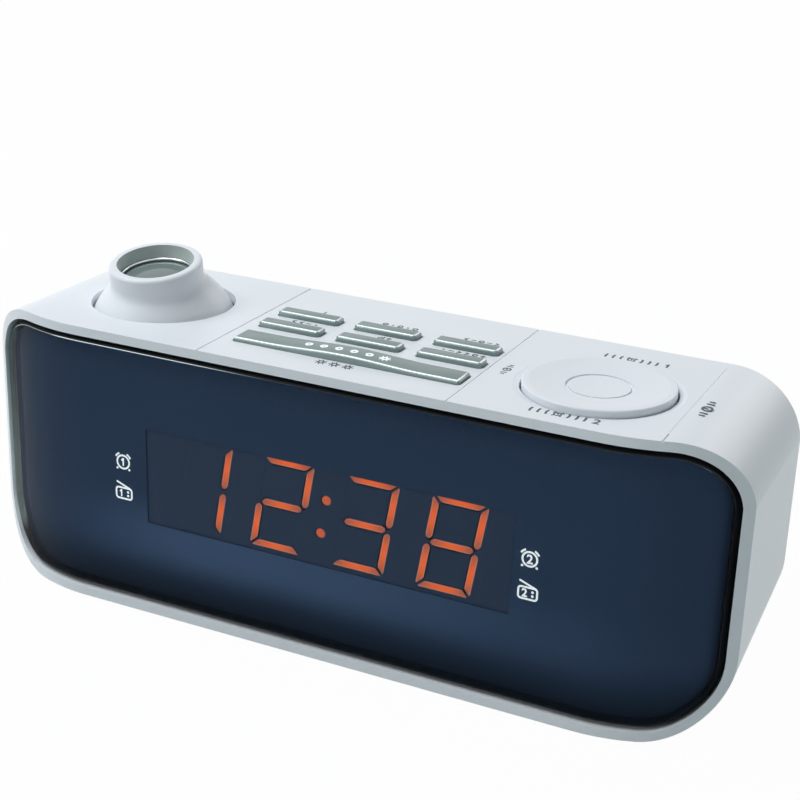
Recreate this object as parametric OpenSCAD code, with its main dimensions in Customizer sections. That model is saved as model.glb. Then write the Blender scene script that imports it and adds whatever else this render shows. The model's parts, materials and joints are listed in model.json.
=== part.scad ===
// Projection alarm clock radio: a wide, low case that leans back on its base,
// a smoked display panel curved at both ends, a key deck, a four-way rocker pad
// and a ball-mounted projector. Millimetres, +Z up, origin on the table under
// the middle of the case, front towards -Y.
// Most parts are drawn in the case's own axes (x right, y back from the front
// face, z up from the front bottom edge) and then leaned back by tilted().

/* [Case] */
// Width of the case across its front
case_w = 196; // [186:1:210]
// Height of the case at its front
case_h = 72; // [70:1:78]
// Depth of the case along its top
case_d = 55.5; // [54:0.5:64]
// How far the base rises from front to rear, which leans the case back
base_rise = 7.4; // [4:0.2:8]
// How much narrower each side is at the rear than at the front
side_draft = 0.9; // [0.4:0.1:1.6]
// Radius of the two long upper corners
upper_r = 17; // [12:0.5:20]
// Radius of the two long lower corners
lower_r = 18.5; // [12:0.5:20]
// Wall of the case, which is also the pale rim round the panel
wall = 2.3; // [2:0.1:2.8]
// Half the width of the flat middle of the front
front_flat = 65.5; // [60:0.5:72]
// Radius at which the front sweeps back at each end
front_r = 47; // [42:1:60]

/* [Display] */
// Gap round the display panel
panel_gap = 0.6; // [0.3:0.05:0.7]
// How far the panel sits behind the rim
panel_set = 0.4; // [0.2:0.1:1]
// Thickness of the smoked panel
panel_t = 2; // [1.5:0.1:2.5]
// Thickness of the black frame behind the panel
frame_t = 2; // [1.6:0.1:2.5]
// Width of the display module
module_w = 95.6; // [93:0.2:100]
// Height of the display module
module_h = 24.9; // [24.6:0.1:28]
// Height of the display's middle above the base edge
module_z = 35.9; // [34:0.1:40]
// Middle of the display, to the right of the case's middle
module_x = 0.3; // [-1:0.1:1.5]
// Height of a digit
digit_h = 23.2; // [20:0.1:23.6]
// Width of a digit over its bars
digit_w = 12.5; // [10:0.1:13]
// Distance from one digit to the next
digit_pitch = 21.6; // [20:0.1:22]
// Lean of the digits to the right
digit_lean = 10; // [0:1:12]
// Width of a digit's bars
bar_w = 2; // [1.4:0.1:2.2]
// Gap where two bars of a digit meet
bar_gap = 0.45; // [0.3:0.05:0.8]
// Middle of the four digits, to the right of the module's middle
digits_x = 0.5; // [-1:0.1:1.5]
// Middle of the four digits, above the module's middle
digits_z = 0.4; // [0:0.1:0.4]

/* [Deck seams] */
// Each long groove from the middle of the deck
seam_x = 31.5; // [31.4:0.1:33]
// The groove near the right end, from the middle of the deck
end_seam_x = 79.2; // [78.6:0.1:80.4]
// Width of the grooves across the deck
seam_w = 0.4; // [0.3:0.1:0.8]
// Depth of the grooves
seam_deep = 0.3; // [0.2:0.1:0.8]

/* [Keys] */
// Length of a key
key_w = 16.4; // [14:0.1:16.6]
// Depth of a key, front to back
key_d = 4.3; // [3.6:0.1:4.8]
// Height of a key above the deck
key_rise = 1.3; // [1:0.1:1.6]
// Radius of a key's corners
key_r = 0.9; // [0.5:0.1:1.4]
// Distance between the columns of keys
key_pitch_x = 20.9; // [20.6:0.1:21.4]
// Distance between the two rows of keys
key_pitch_y = 9.5; // [9:0.1:10]
// Middle of the front row, back from the front face
key_y = 24.5; // [24.3:0.1:26]
// Middle of the key group, to the right of the case's middle
key_x = 1; // [-0.5:0.1:1]
// Travel of a key
key_travel = 0.6; // [0.3:0.05:0.8]
// Bevel round the top of a key
key_bevel = 0.45; // [0.2:0.05:0.6]
// Gap between a key and its hole
key_gap = 0.3; // [0.2:0.05:0.5]
// How far the lip under a key reaches past its hole
key_lip = 0.6; // [0.4:0.05:0.7]

/* [Snooze bar] */
// Length of the snooze bar
snooze_w = 58; // [54:0.5:58]
// Depth of the snooze bar
snooze_d = 7; // [6:0.1:7.4]
// Height of the bar's ends above the deck
snooze_rise = 1; // [0.8:0.1:1.4]
// How much the bar's middle rises above its ends
snooze_crown = 0.7; // [0.3:0.1:1.2]
// Middle of the bar, back from the front face
snooze_y = 13.7; // [13:0.1:13.8]

/* [Rocker pad] */
// Radius of the four-way pad
pad_r = 17.3; // [17:0.1:18]
// Height of the pad's edge above the deck
pad_rise = 1.3; // [1:0.1:1.8]
// Depth of the dish in the pad
pad_dish = 1.2; // [0.4:0.1:1.2]
// Gap between the pad and its hole
pad_gap = 0.45; // [0.4:0.05:0.7]
// Middle of the pad to the right of the case's middle
pad_x = 57.6; // [56.6:0.1:58]
// Middle of the pad, back from the front face
pad_y = 24.8; // [24.4:0.1:25.6]
// Radius of the ring engraved in the pad
pad_ring_r = 7.3; // [6:0.1:8]
// Tilt of the pad at a full press
pad_tilt = 2.3; // [1:0.1:2.5]

/* [Projector] */
// Radius of the projector's ball
ball_r = 18.8; // [18.4:0.1:19]
// Depth of the ball's centre below the deck
ball_deep = 9.2; // [9:0.1:9.6]
// Radius of the hole in the deck
ball_hole_r = 17.9; // [17.7:0.05:18.1]
// Radius of the snout
snout_r = 11.5; // [11.3:0.1:11.8]
// Length of the snout from the ball's centre
snout_len = 20.6; // [20:0.1:23]
// Radius of the snout's bore
snout_bore_r = 9.5; // [9.2:0.1:9.6]
// Radius of the blend between the snout and the ball
snout_blend = 3; // [1:0.5:4]
// Depth of the lens ring below the snout's rim
lens_deep = 3.6; // [2.8:0.1:3.8]
// Middle of the ball to the left of the case's middle
ball_x = 58.2; // [57.6:0.1:58.8]
// Middle of the ball, back from the front face
ball_y = 27.4; // [27:0.1:27.8]
// Tilt of the snout away from square to the deck
snout_tilt = 9.8; // [0:0.2:20]
// Turn of the snout to the right from straight ahead
snout_turn = 0.5; // [-40:0.5:40]

/* [Rear and base] */
// Thickness of the rear cover
cover_t = 2.2; // [1.8:0.1:2.6]
// How far the rear cover sits inside the rear edge
cover_set = 0.4; // [0.2:0.1:1]
// Radius of the speaker
speaker_r = 18; // [16:0.5:20]
// Radius of a rubber foot
foot_r = 5.5; // [4:0.5:6]
// How far the feet stand out of the base
foot_drop = 1.5; // [1.2:0.1:2]
// Length of the two backup cells
cell_len = 44.5; // [44:0.1:45]
// Radius of a backup cell
cell_r = 5.25; // [5:0.05:5.4]

/* [Hidden] */
$fn = 96;
over = 0.05;                         // overrun of a cut past the face that it opens
fit_gap = 0.3;                       // running gap between pieces that move past each other
pin_gap = 0.05;                      // radial clearance of a pin in its bore
far = 400;                           // a length beyond every part

lean = atan(base_rise / case_d);
draft = atan(side_draft / case_d);
tilted_d = case_d * cos(lean) + case_h * sin(lean);
base_len = norm([case_d, base_rise]);
deck = case_h;                       // outer face of the deck
deck_under = case_h - wall;
panel_back = panel_set + panel_t;
frame_back = panel_back + frame_t;
cover_in = case_d - cover_set - cover_t;

board_t = 1.6;
switch_w = 6;
switch_h = 3.5;
switch_bore_r = 1.8;
switch_bore = 2.5;
key_board_z = deck_under - 9.3;      // underside of the key board
switch_z = key_board_z + board_t;    // face that the switches stand on
stem_r = 1.4;
stem_end = switch_z + switch_h - 0.8;
lip_t = 1;

snooze_stem = 18;                    // each stem of the snooze bar from its middle

pad_t = 3.3;                         // thickness of the pad at its edge
pad_leg = 14;                        // each leg of the pad from its middle
gimbal_z = deck - 5.5;               // height of the pad's two rocking axes
gimbal_r = 7.6;
gimbal_bore = 5;
gimbal_h = 3;
gimbal_pin_r = 1;
ear_t = 1.8;

ball_wall = 1.8;
ball_z = deck - ball_deep;
trunnion_r = 2;
cradle_in = ball_r + 0.35;
cradle_out = cradle_in + 2;
cradle_h = 10.6;
cradle_top = deck_under - fit_gap;
base_floor = cradle_top - cradle_h - fit_gap - 1.2;
base_in = cradle_out + fit_gap;
base_wall = 1.2;
base_out = base_in + base_wall;
lens_t = 3.6;

main_y = 12.6;                       // front face of the main board
main_x = [module_x - module_w / 2 - 7.1, 72];
main_z = [8, ball_z - ball_r + 2];
post_r = 3.4;
screw_r = 1.25;                      // core of the larger screws
small_r = 0.8;                       // core of the smaller screws

bay_x = 36 - case_w / 2;             // left end of the battery bay
bay_y = -4.5;                        // front end of the battery bay
bay_wall = 1.4;
door_t = 1.5;
door_tongue = 1.2;
cell_gap = 0.4;
contact_t = 2.6;                     // room for the contact at each end of a cell

// ---------------------------------------------------------------- placing

// From the case's own axes to the table's.
module tilted()
    translate([0, -tilted_d / 2, foot_drop]) rotate([-lean, 0, 0]) children();

// From axes that lie on the base, with y from its front edge, to the table's.
module on_base()
    translate([0, -tilted_d / 2, foot_drop]) children();

// A 2D outline in x and z, drawn as a slab that runs back from y for t.
module slab_xz(y, t)
    translate([0, y + t, 0]) rotate([90, 0, 0]) linear_extrude(t) children();

module mirrored_x() {
    children();
    mirror([1, 0, 0]) children();
}

// A rod along y from y0 to y1.
module rod_y(x, z, r, y0, y1)
    translate([x, y0, z]) rotate([-90, 0, 0]) cylinder(r = r, h = y1 - y0);

// A rod along x, centred on the origin of x.
module rod_x(r, x0, x1)
    translate([x0, 0, 0]) rotate([0, 90, 0]) cylinder(r = r, h = x1 - x0);

module rounded_rect(w, d, r)
    union() {
        square([w - 2 * r, d], center = true);
        square([w, d - 2 * r], center = true);
        for (sx = [-1, 1], sy = [-1, 1])
            translate([sx * (w / 2 - r), sy * (d / 2 - r)]) circle(r = r);
    }

// ---------------------------------------------------------------- lofting

// Points round a rounded rectangle, steps + 1 of them at each corner.
function ring_xy(w, d, r, z, steps) = [
    for (q = [0:3], i = [0:steps])
        let (a = 90 * q + 90 * i / steps,
             sx = (q == 0 || q == 3) ? 1 : -1,
             sy = q < 2 ? 1 : -1)
        [sx * (w / 2 - r) + r * cos(a), sy * (d / 2 - r) + r * sin(a), z]
];

// A closed skin over rings that all have the same number of points.
module loft(rings) {
    n = len(rings[0]);
    last = len(rings) - 1;
    polyhedron(
        points = [for (ring = rings, p = ring) p],
        faces = concat(
            [[for (i = [0:n - 1]) i]],
            [[for (i = [n - 1:-1:0]) last * n + i]],
            [for (k = [0:last - 1], i = [0:n - 1])
                let (j = (i + 1) % n) [k * n + i, (k + 1) * n + i, (k + 1) * n + j]],
            [for (k = [0:last - 1], i = [0:n - 1])
                let (j = (i + 1) % n) [k * n + i, (k + 1) * n + j, k * n + j]]
        ),
        convexity = 4
    );
}

// ---------------------------------------------------------------- case form

// Everything to the left of and below one long upper corner at the origin.
module corner_outline(r) {
    reach = 2 * case_w;
    translate([-reach, -reach]) square([reach - r, reach]);
    translate([-reach, -reach]) square([reach, reach - r]);
    translate([-r, -r]) circle(r = r);
}

// The solid under one long corner edge, which runs back along its own draft.
module corner_prism(r, rise)
    rotate([rise, 0, draft])
        translate([0, far / 2, 0]) rotate([90, 0, 0]) linear_extrude(far) corner_outline(r);

// The outline of the case, drawn in by inset and endless from front to rear.
module case_form(inset) {
    half = case_w / 2 - inset;
    intersection() {
        translate([half, 0, case_h - inset]) corner_prism(upper_r - inset, 0);
        mirror([1, 0, 0])
            translate([half, 0, case_h - inset]) corner_prism(upper_r - inset, 0);
        translate([half, 0, inset / cos(lean)])
            rotate([lean, 0, 0]) mirror([0, 0, 1]) corner_prism(lower_r - inset, 0);
        mirror([1, 0, 0])
            translate([half, 0, inset / cos(lean)])
                rotate([lean, 0, 0]) mirror([0, 0, 1]) corner_prism(lower_r - inset, 0);
    }
}

// Plan of everything behind the front face once it is moved back by set.
module plan_behind(set) {
    r = front_r - set;
    translate([-front_flat, set]) square([2 * front_flat, r]);
    for (s = [-1, 1]) translate([s * front_flat, front_r]) circle(r = r);
    translate([-case_w, front_r]) square([2 * case_w, case_d]);
}

// The case form between the front face moved back by set and the plane y = rear.
module case_block(inset, set, rear)
    intersection() {
        case_form(inset);
        translate([0, 0, -far / 4]) linear_extrude(far) intersection() {
            plan_behind(set);
            translate([-case_w, -case_w]) square([2 * case_w, case_w + rear]);
        }
    }

// A sheet of the case form that follows the front face, from set to set + t.
module front_sheet(inset, set, t)
    intersection() {
        case_form(inset);
        translate([0, 0, -far / 4]) linear_extrude(far) difference() {
            plan_behind(set);
            plan_behind(set + t);
        }
    }

// ---------------------------------------------------------------- screws

// A pan-head screw with a cross recess, its head's seat at z = 0, pointing down.
module screw(core, len) {
    head_r = core * 2.1;
    head_h = core * 1.5;
    difference() {
        union() {
            cylinder(r = head_r, h = head_h);
            translate([0, 0, -len]) cylinder(r = core - pin_gap, h = len + over);
        }
        for (a = [0, 90]) rotate([0, 0, a])
            translate([-head_r * 0.6, -core * 0.22, head_h - core * 0.8])
                cube([head_r * 1.2, core * 0.44, core]);
    }
}

// ---------------------------------------------------------------- layout

key_columns = [for (i = [-1:1]) key_x + i * key_pitch_x];
key_rows = [key_y, key_y + key_pitch_y];
key_spots = [for (y = key_rows, x = key_columns) [x, y]];
snooze_spots = [for (s = [-1, 1]) [key_x + s * snooze_stem, snooze_y]];
pad_spots = [for (a = [0:90:270]) [pad_x + pad_leg * cos(a), pad_y + pad_leg * sin(a)]];
switch_spots = concat(key_spots, snooze_spots, pad_spots);

board_left = key_columns[0] - 10.3;
board_right = pad_x + 21.5;
deck_boss_r = 1.9;
deck_bosses = concat(
    [for (s = [-1, 1]) [key_x + s * key_pitch_x / 2, key_y + key_pitch_y / 2]],
    [for (x = [key_columns[0] - 7, key_columns[2] + 9]) [x, key_rows[1] + 7.6]],
    [for (y = [pad_y - 14, pad_y + 16.5]) [pad_x + 18.8, y]]
);

ear_x = base_out + 0.6;              // screw ears of the projector base
ear_y = 11;
base_ears = [for (sx = [-1, 1], sy = [-1, 1]) [-ball_x + sx * ear_x, ball_y + sy * ear_y]];
base_ear_r = 2.8;

case_posts = [for (sx = [-1, 1], z = [20, case_h - 16]) [sx * (case_w / 2 - 10), z]];
board_posts = [for (x = [main_x[0] + 4, main_x[1] - 4], z = [main_z[0] + 4, main_z[1] - 4]) [x, z]];

speaker_x = case_w / 2 - 54;
speaker_z = case_h / 2;
inlet_x = 23 - case_w / 2;
inlet_z = 22;
aerial_x = inlet_x;
aerial_z = case_h - 28;

bay_w = cell_len + 2 * contact_t + 2 * cell_gap;
bay_d = 4 * cell_r + 3 * cell_gap;
bay_h = 2 * cell_r + 2 * cell_gap;
bay_z = door_t + fit_gap;            // mouth of the bay, above the door
foot_spots = [for (sx = [-1, 1], y = [10, base_len - 9.7]) [sx * (case_w / 2 - 24.5), y]];
bay_mid = [bay_x + bay_w / 2, bay_y + tilted_d / 2 + bay_d / 2];
door_w = bay_w + 2;
door_front = bay_mid[1] - bay_d / 2 - 2;

// ---------------------------------------------------------------- case

module seam(x)
    translate([x - seam_w / 2, -case_w / 2, deck - seam_deep]) cube([seam_w, 2 * case_w, 2 * seam_deep]);

module key_hole(w, d, r)
    translate([0, 0, deck_under - wall]) linear_extrude(3 * wall)
        rounded_rect(w + 2 * key_gap, d + 2 * key_gap, r + key_gap);

// The groove and mouth that the battery door slides in, from the rear edge.
module door_channel() {
    back = base_len + 5;
    lip = 0.7;
    wide = door_w + 2 * fit_gap;
    translate([bay_mid[0] - wide / 2, door_front - fit_gap, -over])
        cube([wide, back, bay_z + over]);
    translate([bay_mid[0] - wide / 2 - door_tongue, door_front - fit_gap, lip])
        cube([wide + 2 * door_tongue, back, bay_z - lip]);
}

module bay_hollow()
    translate([bay_mid[0] - bay_w / 2, bay_mid[1] - bay_d / 2, -over])
        cube([bay_w, bay_d, bay_z + bay_h + over]);

// Material round the battery bay, inside the case.
module bay_block() {
    wide = door_w + 2 * (door_tongue + fit_gap + bay_wall);
    front = door_front - fit_gap - bay_wall;
    back = bay_mid[1] + bay_d / 2 + bay_wall;
    translate([bay_mid[0] - wide / 2, front, wall / 2])
        cube([wide, base_len - front - wall, bay_z + 1.2 - wall / 2]);
    translate([bay_mid[0] - bay_w / 2 - bay_wall, front, wall / 2])
        cube([bay_w + 2 * bay_wall, back - front, bay_z + bay_h + bay_wall - wall / 2]);
}

// Room for the projector's base, which stands close behind the front frame.
module base_clearance()
    translate([-ball_x, ball_y, base_floor - fit_gap]) cylinder(r = base_out + 0.2, h = case_h);

module housing() color("whitesmoke") difference() {
    union() {
        tilted() difference() {
            case_block(0, 0, case_d);
            difference() {
                case_form(wall);
                // ledge that the front frame seats against
                difference() {
                    front_sheet(wall - over, frame_back + 0.1, 1.6);
                    case_form(wall + 1.4);
                    base_clearance();
                }
            }
        }
        // bosses under the deck
        tilted() difference() {
            union() {
                for (p = deck_bosses) translate([p[0], p[1], key_board_z + board_t])
                    cylinder(r = deck_boss_r, h = deck_under + over - key_board_z - board_t);
                for (p = base_ears) translate([p[0], p[1], deck_under - 2.4])
                    cylinder(r = base_ear_r, h = 2.4 + over);
            }
            for (p = deck_bosses) translate([p[0], p[1], key_board_z])
                cylinder(r = small_r, h = 6);
            for (p = base_ears) translate([p[0], p[1], deck_under - 3])
                cylinder(r = small_r, h = 3.8);
        }
        // stops for the rear cover
        tilted() intersection() {
            case_block(wall - over, 0, cover_in);
            union() {
                for (x = [-62, 0, 62]) translate([x - 4, cover_in - 3, case_h - wall - 1.2])
                    cube([8, 3, 4]);
                for (x = [0, 62]) translate([x - 4, cover_in - 3, 0]) cube([8, 3, base_rise + wall + 1.2]);
                for (s = [-1, 1]) translate([s * case_w / 2 - 5, cover_in - 3, case_h / 2 - 4])
                    cube([10, 3, 8]);
            }
        }
        intersection() {
            on_base() bay_block();
            tilted() case_block(wall / 2, frame_back, cover_in - fit_gap);
        }
    }
    tilted() {
        for (s = [-1, 1]) seam(s * seam_x);
        difference() {
            seam(end_seam_x);
            translate([0, case_d - 4, 0]) cube(far);
        }
        for (p = key_spots) translate([p[0], p[1], 0]) key_hole(key_w, key_d, key_r);
        translate([key_x, snooze_y, 0]) key_hole(snooze_w, snooze_d, key_r);
        translate([pad_x, pad_y, deck_under - wall]) cylinder(r = pad_r + pad_gap, h = 3 * wall);
        translate([pad_x, pad_y, deck - 0.4])
            cylinder(r1 = pad_r + pad_gap, r2 = pad_r + pad_gap + 1.8, h = 0.4 + over);
        translate([-ball_x, ball_y, deck_under - wall]) cylinder(r = ball_hole_r, h = 3 * wall);
    }
    on_base() {
        bay_hollow();
        door_channel();
        for (p = foot_spots) translate([p[0], p[1], -over]) cylinder(r = foot_r, h = 0.8 + over);
    }
}

// ---------------------------------------------------------------- display

module module_window(grow)
    translate([module_x, module_z]) square([module_w + 2 * grow, module_h + 2 * grow], center = true);

module front_frame() color("black") tilted() difference() {
    union() {
        front_sheet(wall + panel_gap, panel_back, frame_t);
        intersection() {
            case_block(wall + panel_gap, panel_back, case_d);
            for (p = case_posts) rod_y(p[0], p[1], post_r, 0, cover_in - 0.1);
        }
        for (p = board_posts) rod_y(p[0], p[1], 3, panel_back + frame_t / 2, main_y);
        slab_xz(panel_back + frame_t / 2, 3) difference() {
            module_window(1.6);
            module_window(0.3);
        }
    }
    slab_xz(0, 10) module_window(0.3);
    base_clearance();
    for (p = case_posts) rod_y(p[0], p[1], screw_r, cover_in - 14, cover_in + 1);
    for (p = board_posts) rod_y(p[0], p[1], small_r, main_y - 6, main_y + 1);
}

module display_panel() color("midnightblue")
    tilted() front_sheet(wall + panel_gap, panel_set, panel_t);

// A thin cut from the origin outwards along +x, turned to the angle a.
module bar_cut(a, len)
    rotate(a) translate([-bar_gap / 4, -bar_gap / 2]) square([len + bar_gap / 4, bar_gap]);

// The seven bars of a digit, centred on the origin and leaned to the right:
// a figure eight, mitred at its corners and parted where three bars meet.
module digit_outline() {
    shear = [[1, tan(digit_lean), 0, 0], [0, 1, 0, 0], [0, 0, 1, 0], [0, 0, 0, 1]];
    inner_h = (digit_h - 3 * bar_w) / 2;
    multmatrix(shear) difference() {
        square([digit_w, digit_h], center = true);
        for (s = [-1, 1]) translate([0, s * (inner_h + bar_w) / 2])
            square([digit_w - 2 * bar_w, inner_h], center = true);
        for (sx = [-1, 1], sz = [-1, 1])
            translate([sx * digit_w / 2, sz * digit_h / 2]) bar_cut(atan2(-sz, -sx), bar_w * 1.5);
        for (sx = [-1, 1]) translate([sx * (digit_w - bar_w) / 2, 0]) {
            bar_cut(sx < 0 ? 180 : 0, bar_w);
            for (a = [-45, 45]) bar_cut(sx < 0 ? a : 180 + a, bar_w);
        }
    }
}

module digit_outlines() translate([module_x, module_z + digits_z]) {
    for (i = [0:3]) translate([(i - 1.5) * digit_pitch + digits_x, 0]) digit_outline();
    for (s = [-1, 1]) translate([digits_x - 0.5 + s * 4.2 * tan(digit_lean), s * 4.2]) circle(r = 1.15);
}

module display_module() color("dimgray") tilted() difference() {
    slab_xz(panel_back + 0.2, main_y - panel_back - 0.2) module_window(0);
    slab_xz(panel_back, 1.2) digit_outlines();
}

module digit_bars() color("orangered") tilted()
    slab_xz(panel_back + 0.3, 0.9) digit_outlines();

// ---------------------------------------------------------------- main board

module main_board() color("darkgreen") tilted() difference() {
    translate([main_x[0], main_y, main_z[0]])
        cube([main_x[1] - main_x[0], board_t, main_z[1] - main_z[0]]);
    for (p = board_posts) rod_y(p[0], p[1], small_r + 0.3, main_y - 1, main_y + board_t + 1);
}

module radio_chip() color("black") tilted()
    translate([-8, main_y + board_t, 26]) {
        cube([18, 2.4, 13]);
        for (i = [0:8]) for (s = [-1, 1])
            translate([0.8 + 2 * i, 0, s < 0 ? -1.2 : 13]) cube([0.6, 0.5, 1.2]);
    }

module tuner_can() color("silver") tilted()
    translate([20, main_y + board_t, 24]) difference() {
        cube([22, 7, 18]);
        for (x = [5, 16.4]) translate([x, 6, 9]) rotate([-90, 0, 0]) cylinder(r = 1.6, h = 2);
    }

module capacitors() color("darkslategray") tilted()
    for (i = [0:2]) rod_y(48 + 8 * i, 20 + 3 * i, 3.2, main_y + board_t, main_y + board_t + 11);

module board_screws() color("silver") tilted()
    for (p = board_posts) translate([p[0], main_y + board_t, p[1]]) rotate([-90, 0, 0]) screw(small_r, 5);

// ---------------------------------------------------------------- rear cover

module grille_slots() {
    slot = 1.6;
    for (i = [-4:4])
        let (x = i * 3.6, h = 2 * sqrt(pow(speaker_r - 2, 2) - x * x))
        translate([speaker_x + x, speaker_z]) rounded_rect(slot, h, slot / 2 - 0.01);
}

module rear_cover() color("whitesmoke") tilted() difference() {
    union() {
        intersection() {
            case_form(wall + 0.25);
            translate([-case_w, cover_in, -far / 4]) cube([2 * case_w, cover_t, far]);
        }
        // ring that holds the speaker
        slab_xz(cover_in - 3, 3 + over) translate([speaker_x, speaker_z]) difference() {
            circle(r = speaker_r + 2);
            circle(r = speaker_r + 0.15);
        }
    }
    slab_xz(cover_in - 1, cover_t + 2) {
        grille_slots();
        translate([inlet_x, inlet_z]) circle(r = 4);
        translate([aerial_x, aerial_z]) circle(r = 2.4);
        for (i = [0:6]) translate([-36 + 5 * i, case_h - 14]) rounded_rect(1.6, 9, 0.79);
    }
    for (p = case_posts) {
        rod_y(p[0], p[1], screw_r + 0.25, cover_in - 1, case_d);
        rod_y(p[0], p[1], screw_r * 2.1 + 0.3, case_d - cover_set - 1.2, case_d + 1);
    }
}

module case_screws() color("silver") tilted()
    for (p = case_posts)
        translate([p[0], case_d - cover_set - 1.2, p[1]]) rotate([-90, 0, 0]) screw(screw_r, 11);

module speaker_basket() color("dimgray") tilted() translate([speaker_x, cover_in, speaker_z])
    rotate([90, 0, 0]) difference() {
        union() {
            cylinder(r = speaker_r, h = 2);
            cylinder(r1 = speaker_r - over, r2 = 10, h = 8);
        }
        translate([0, 0, -over]) cylinder(r = speaker_r - 2, h = 1.6 + over);
        translate([0, 0, -over]) cylinder(r1 = speaker_r - 1.4, r2 = 9, h = 7);
        translate([0, 0, 4]) cylinder(r = 6, h = 6);
        for (a = [45:90:315]) rotate([0, 0, a])
            translate([9.6, -3, 2.6]) cube([5, 6, 3.6]);
    }

module speaker_cone() color("black") tilted() translate([speaker_x, cover_in, speaker_z])
    rotate([90, 0, 0]) rotate_extrude() polygon([
        [0, 3.4], [4, 4.6], [speaker_r - 3.2, 0.5], [speaker_r - 2.4, 0.5],
        [speaker_r - 2.4, 1.1], [4.6, 6.2], [4.6, 7.6], [0, 7.6]
    ]);

module speaker_magnet() color("gray") tilted() translate([speaker_x, cover_in - 8, speaker_z])
    rotate([90, 0, 0]) {
        cylinder(r = 10, h = 1.2);
        translate([0, 0, 1.2]) cylinder(r = 8.6, h = 3.6);
        translate([0, 0, 4.8]) cylinder(r = 10, h = 1.2);
    }

module dc_inlet() color("black") tilted() difference() {
    union() {
        translate([inlet_x - 4.6, cover_in - 12.2, inlet_z - 5.6]) cube([9.2, 12.1, 11]);
        rod_y(inlet_x, inlet_z, 3.9, cover_in - 0.2, case_d - cover_set);
    }
    difference() {
        rod_y(inlet_x, inlet_z, 2.85, cover_in - 8, case_d + 1);
        rod_y(inlet_x, inlet_z, 1, cover_in - 9, case_d - cover_set - 1);
    }
}

module aerial_grommet() color("black") tilted() difference() {
    union() {
        rod_y(aerial_x, aerial_z, 3.4, cover_in - 1.2, cover_in);
        rod_y(aerial_x, aerial_z, 2.4, cover_in - over, case_d - cover_set + over);
        rod_y(aerial_x, aerial_z, 3.2, case_d - cover_set, case_d - cover_set + 1);
    }
    rod_y(aerial_x, aerial_z, 0.9, cover_in - 2, case_d + 2);
}

// ---------------------------------------------------------------- base

module rubber_feet() color("dimgray") on_base()
    for (p = foot_spots) translate([p[0], p[1], 0]) rotate_extrude() difference() {
        translate([0, -foot_drop]) square([foot_r - 0.1, foot_drop + 0.8]);
        translate([foot_r - 0.1, -foot_drop]) rotate(45) square(1, center = true);
    }

module backup_cells() color("seagreen") on_base()
    for (i = [0, 1])
        translate([bay_mid[0] - cell_len / 2,
                   bay_mid[1] + (i - 0.5) * (2 * cell_r + cell_gap), bay_z + cell_gap / 2 + cell_r])
            rotate([0, 0, 180 * i]) translate([i * -cell_len, 0, 0]) {
                rod_x(cell_r, 0, cell_len - 1);
                rod_x(1.9, cell_len - 1 - over, cell_len);
            }

module battery_contacts() color("silver") on_base()
    for (i = [0, 1], s = [-1, 1])
        translate([bay_mid[0], bay_mid[1] + (i - 0.5) * (2 * cell_r + cell_gap),
                   bay_z + cell_gap / 2 + cell_r])
            mirror([s > 0 ? 0 : 1, 0, 0]) translate([bay_w / 2 - 0.5, -4, -4]) {
                cube([0.5, 8, 8]);
                // a coil spring at the flat end of the cell, a raised boss at the other
                translate([-(contact_t + cell_gap - 0.7), 4, 4])
                    if ((i == 0) == (s < 0)) rotate([0, 90, 0]) rotate_extrude() difference() {
                        polygon([[0, 0], [1.8, 0], [3, contact_t + cell_gap - 0.7], [0, contact_t + cell_gap - 0.7]]);
                        polygon([[0, -1], [1, -1], [2.2, contact_t + cell_gap - 0.7], [0, contact_t + cell_gap - 0.7]]);
                    }
                    else rod_x(1.9, 0, contact_t + cell_gap - 0.7);
            }

// The door slides out towards the rear, its tongues in the grooves of the base.
module battery_door() color("whitesmoke") on_base() {
    lip = 0.7;
    back = base_len - 0.6;
    difference() {
        union() {
            translate([bay_mid[0] - door_w / 2, door_front, 0])
                cube([door_w, back - door_front, door_t]);
            translate([bay_mid[0] - door_w / 2 - door_tongue, door_front, lip + fit_gap])
                cube([door_w + 2 * door_tongue, back - door_front - 4, door_t - lip - fit_gap]);
        }
        // grip for a thumb
        for (i = [0:4]) translate([bay_mid[0] - 8, door_front + 7 + 1.6 * i, -over])
            cube([16, 0.8, 0.5]);
    }
}

// ---------------------------------------------------------------- keys

module key_board() color("darkgreen") tilted() difference() {
    translate([board_left, snooze_y - 7.4, key_board_z])
        cube([board_right - board_left, key_rows[1] + 11 - snooze_y + 7.4, board_t]);
    for (p = deck_bosses) translate([p[0], p[1], key_board_z - 1])
        cylinder(r = small_r + 0.3, h = board_t + 2);
}

module key_switches() color("black") tilted()
    for (p = switch_spots) translate([p[0], p[1], switch_z]) difference() {
        translate([-switch_w / 2, -switch_w / 2, 0]) cube([switch_w, switch_w, switch_h]);
        translate([0, 0, switch_h - switch_bore]) cylinder(r = switch_bore_r, h = switch_bore + 1);
    }

module key_screws() color("silver") tilted()
    for (p = deck_bosses) translate([p[0], p[1], key_board_z]) mirror([0, 0, 1]) screw(small_r, 4.6);

module key_cap(spot) color("darkgray") tilted() translate([spot[0], spot[1], 0]) {
    low = deck_under - fit_gap - lip_t;
    top = deck + key_rise;
    loft([
        ring_xy(key_w, key_d, key_r, low, 4),
        ring_xy(key_w, key_d, key_r, top - key_bevel, 4),
        ring_xy(key_w - 2 * key_bevel, key_d - 2 * key_bevel, key_r * 0.6, top, 4)
    ]);
    translate([0, 0, low]) linear_extrude(lip_t)
        rounded_rect(key_w + 2 * key_gap + 2 * key_lip, key_d + 2 * key_gap + 2 * key_lip, key_r);
    translate([0, 0, stem_end]) cylinder(r = stem_r, h = low + over - stem_end);
}

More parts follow.
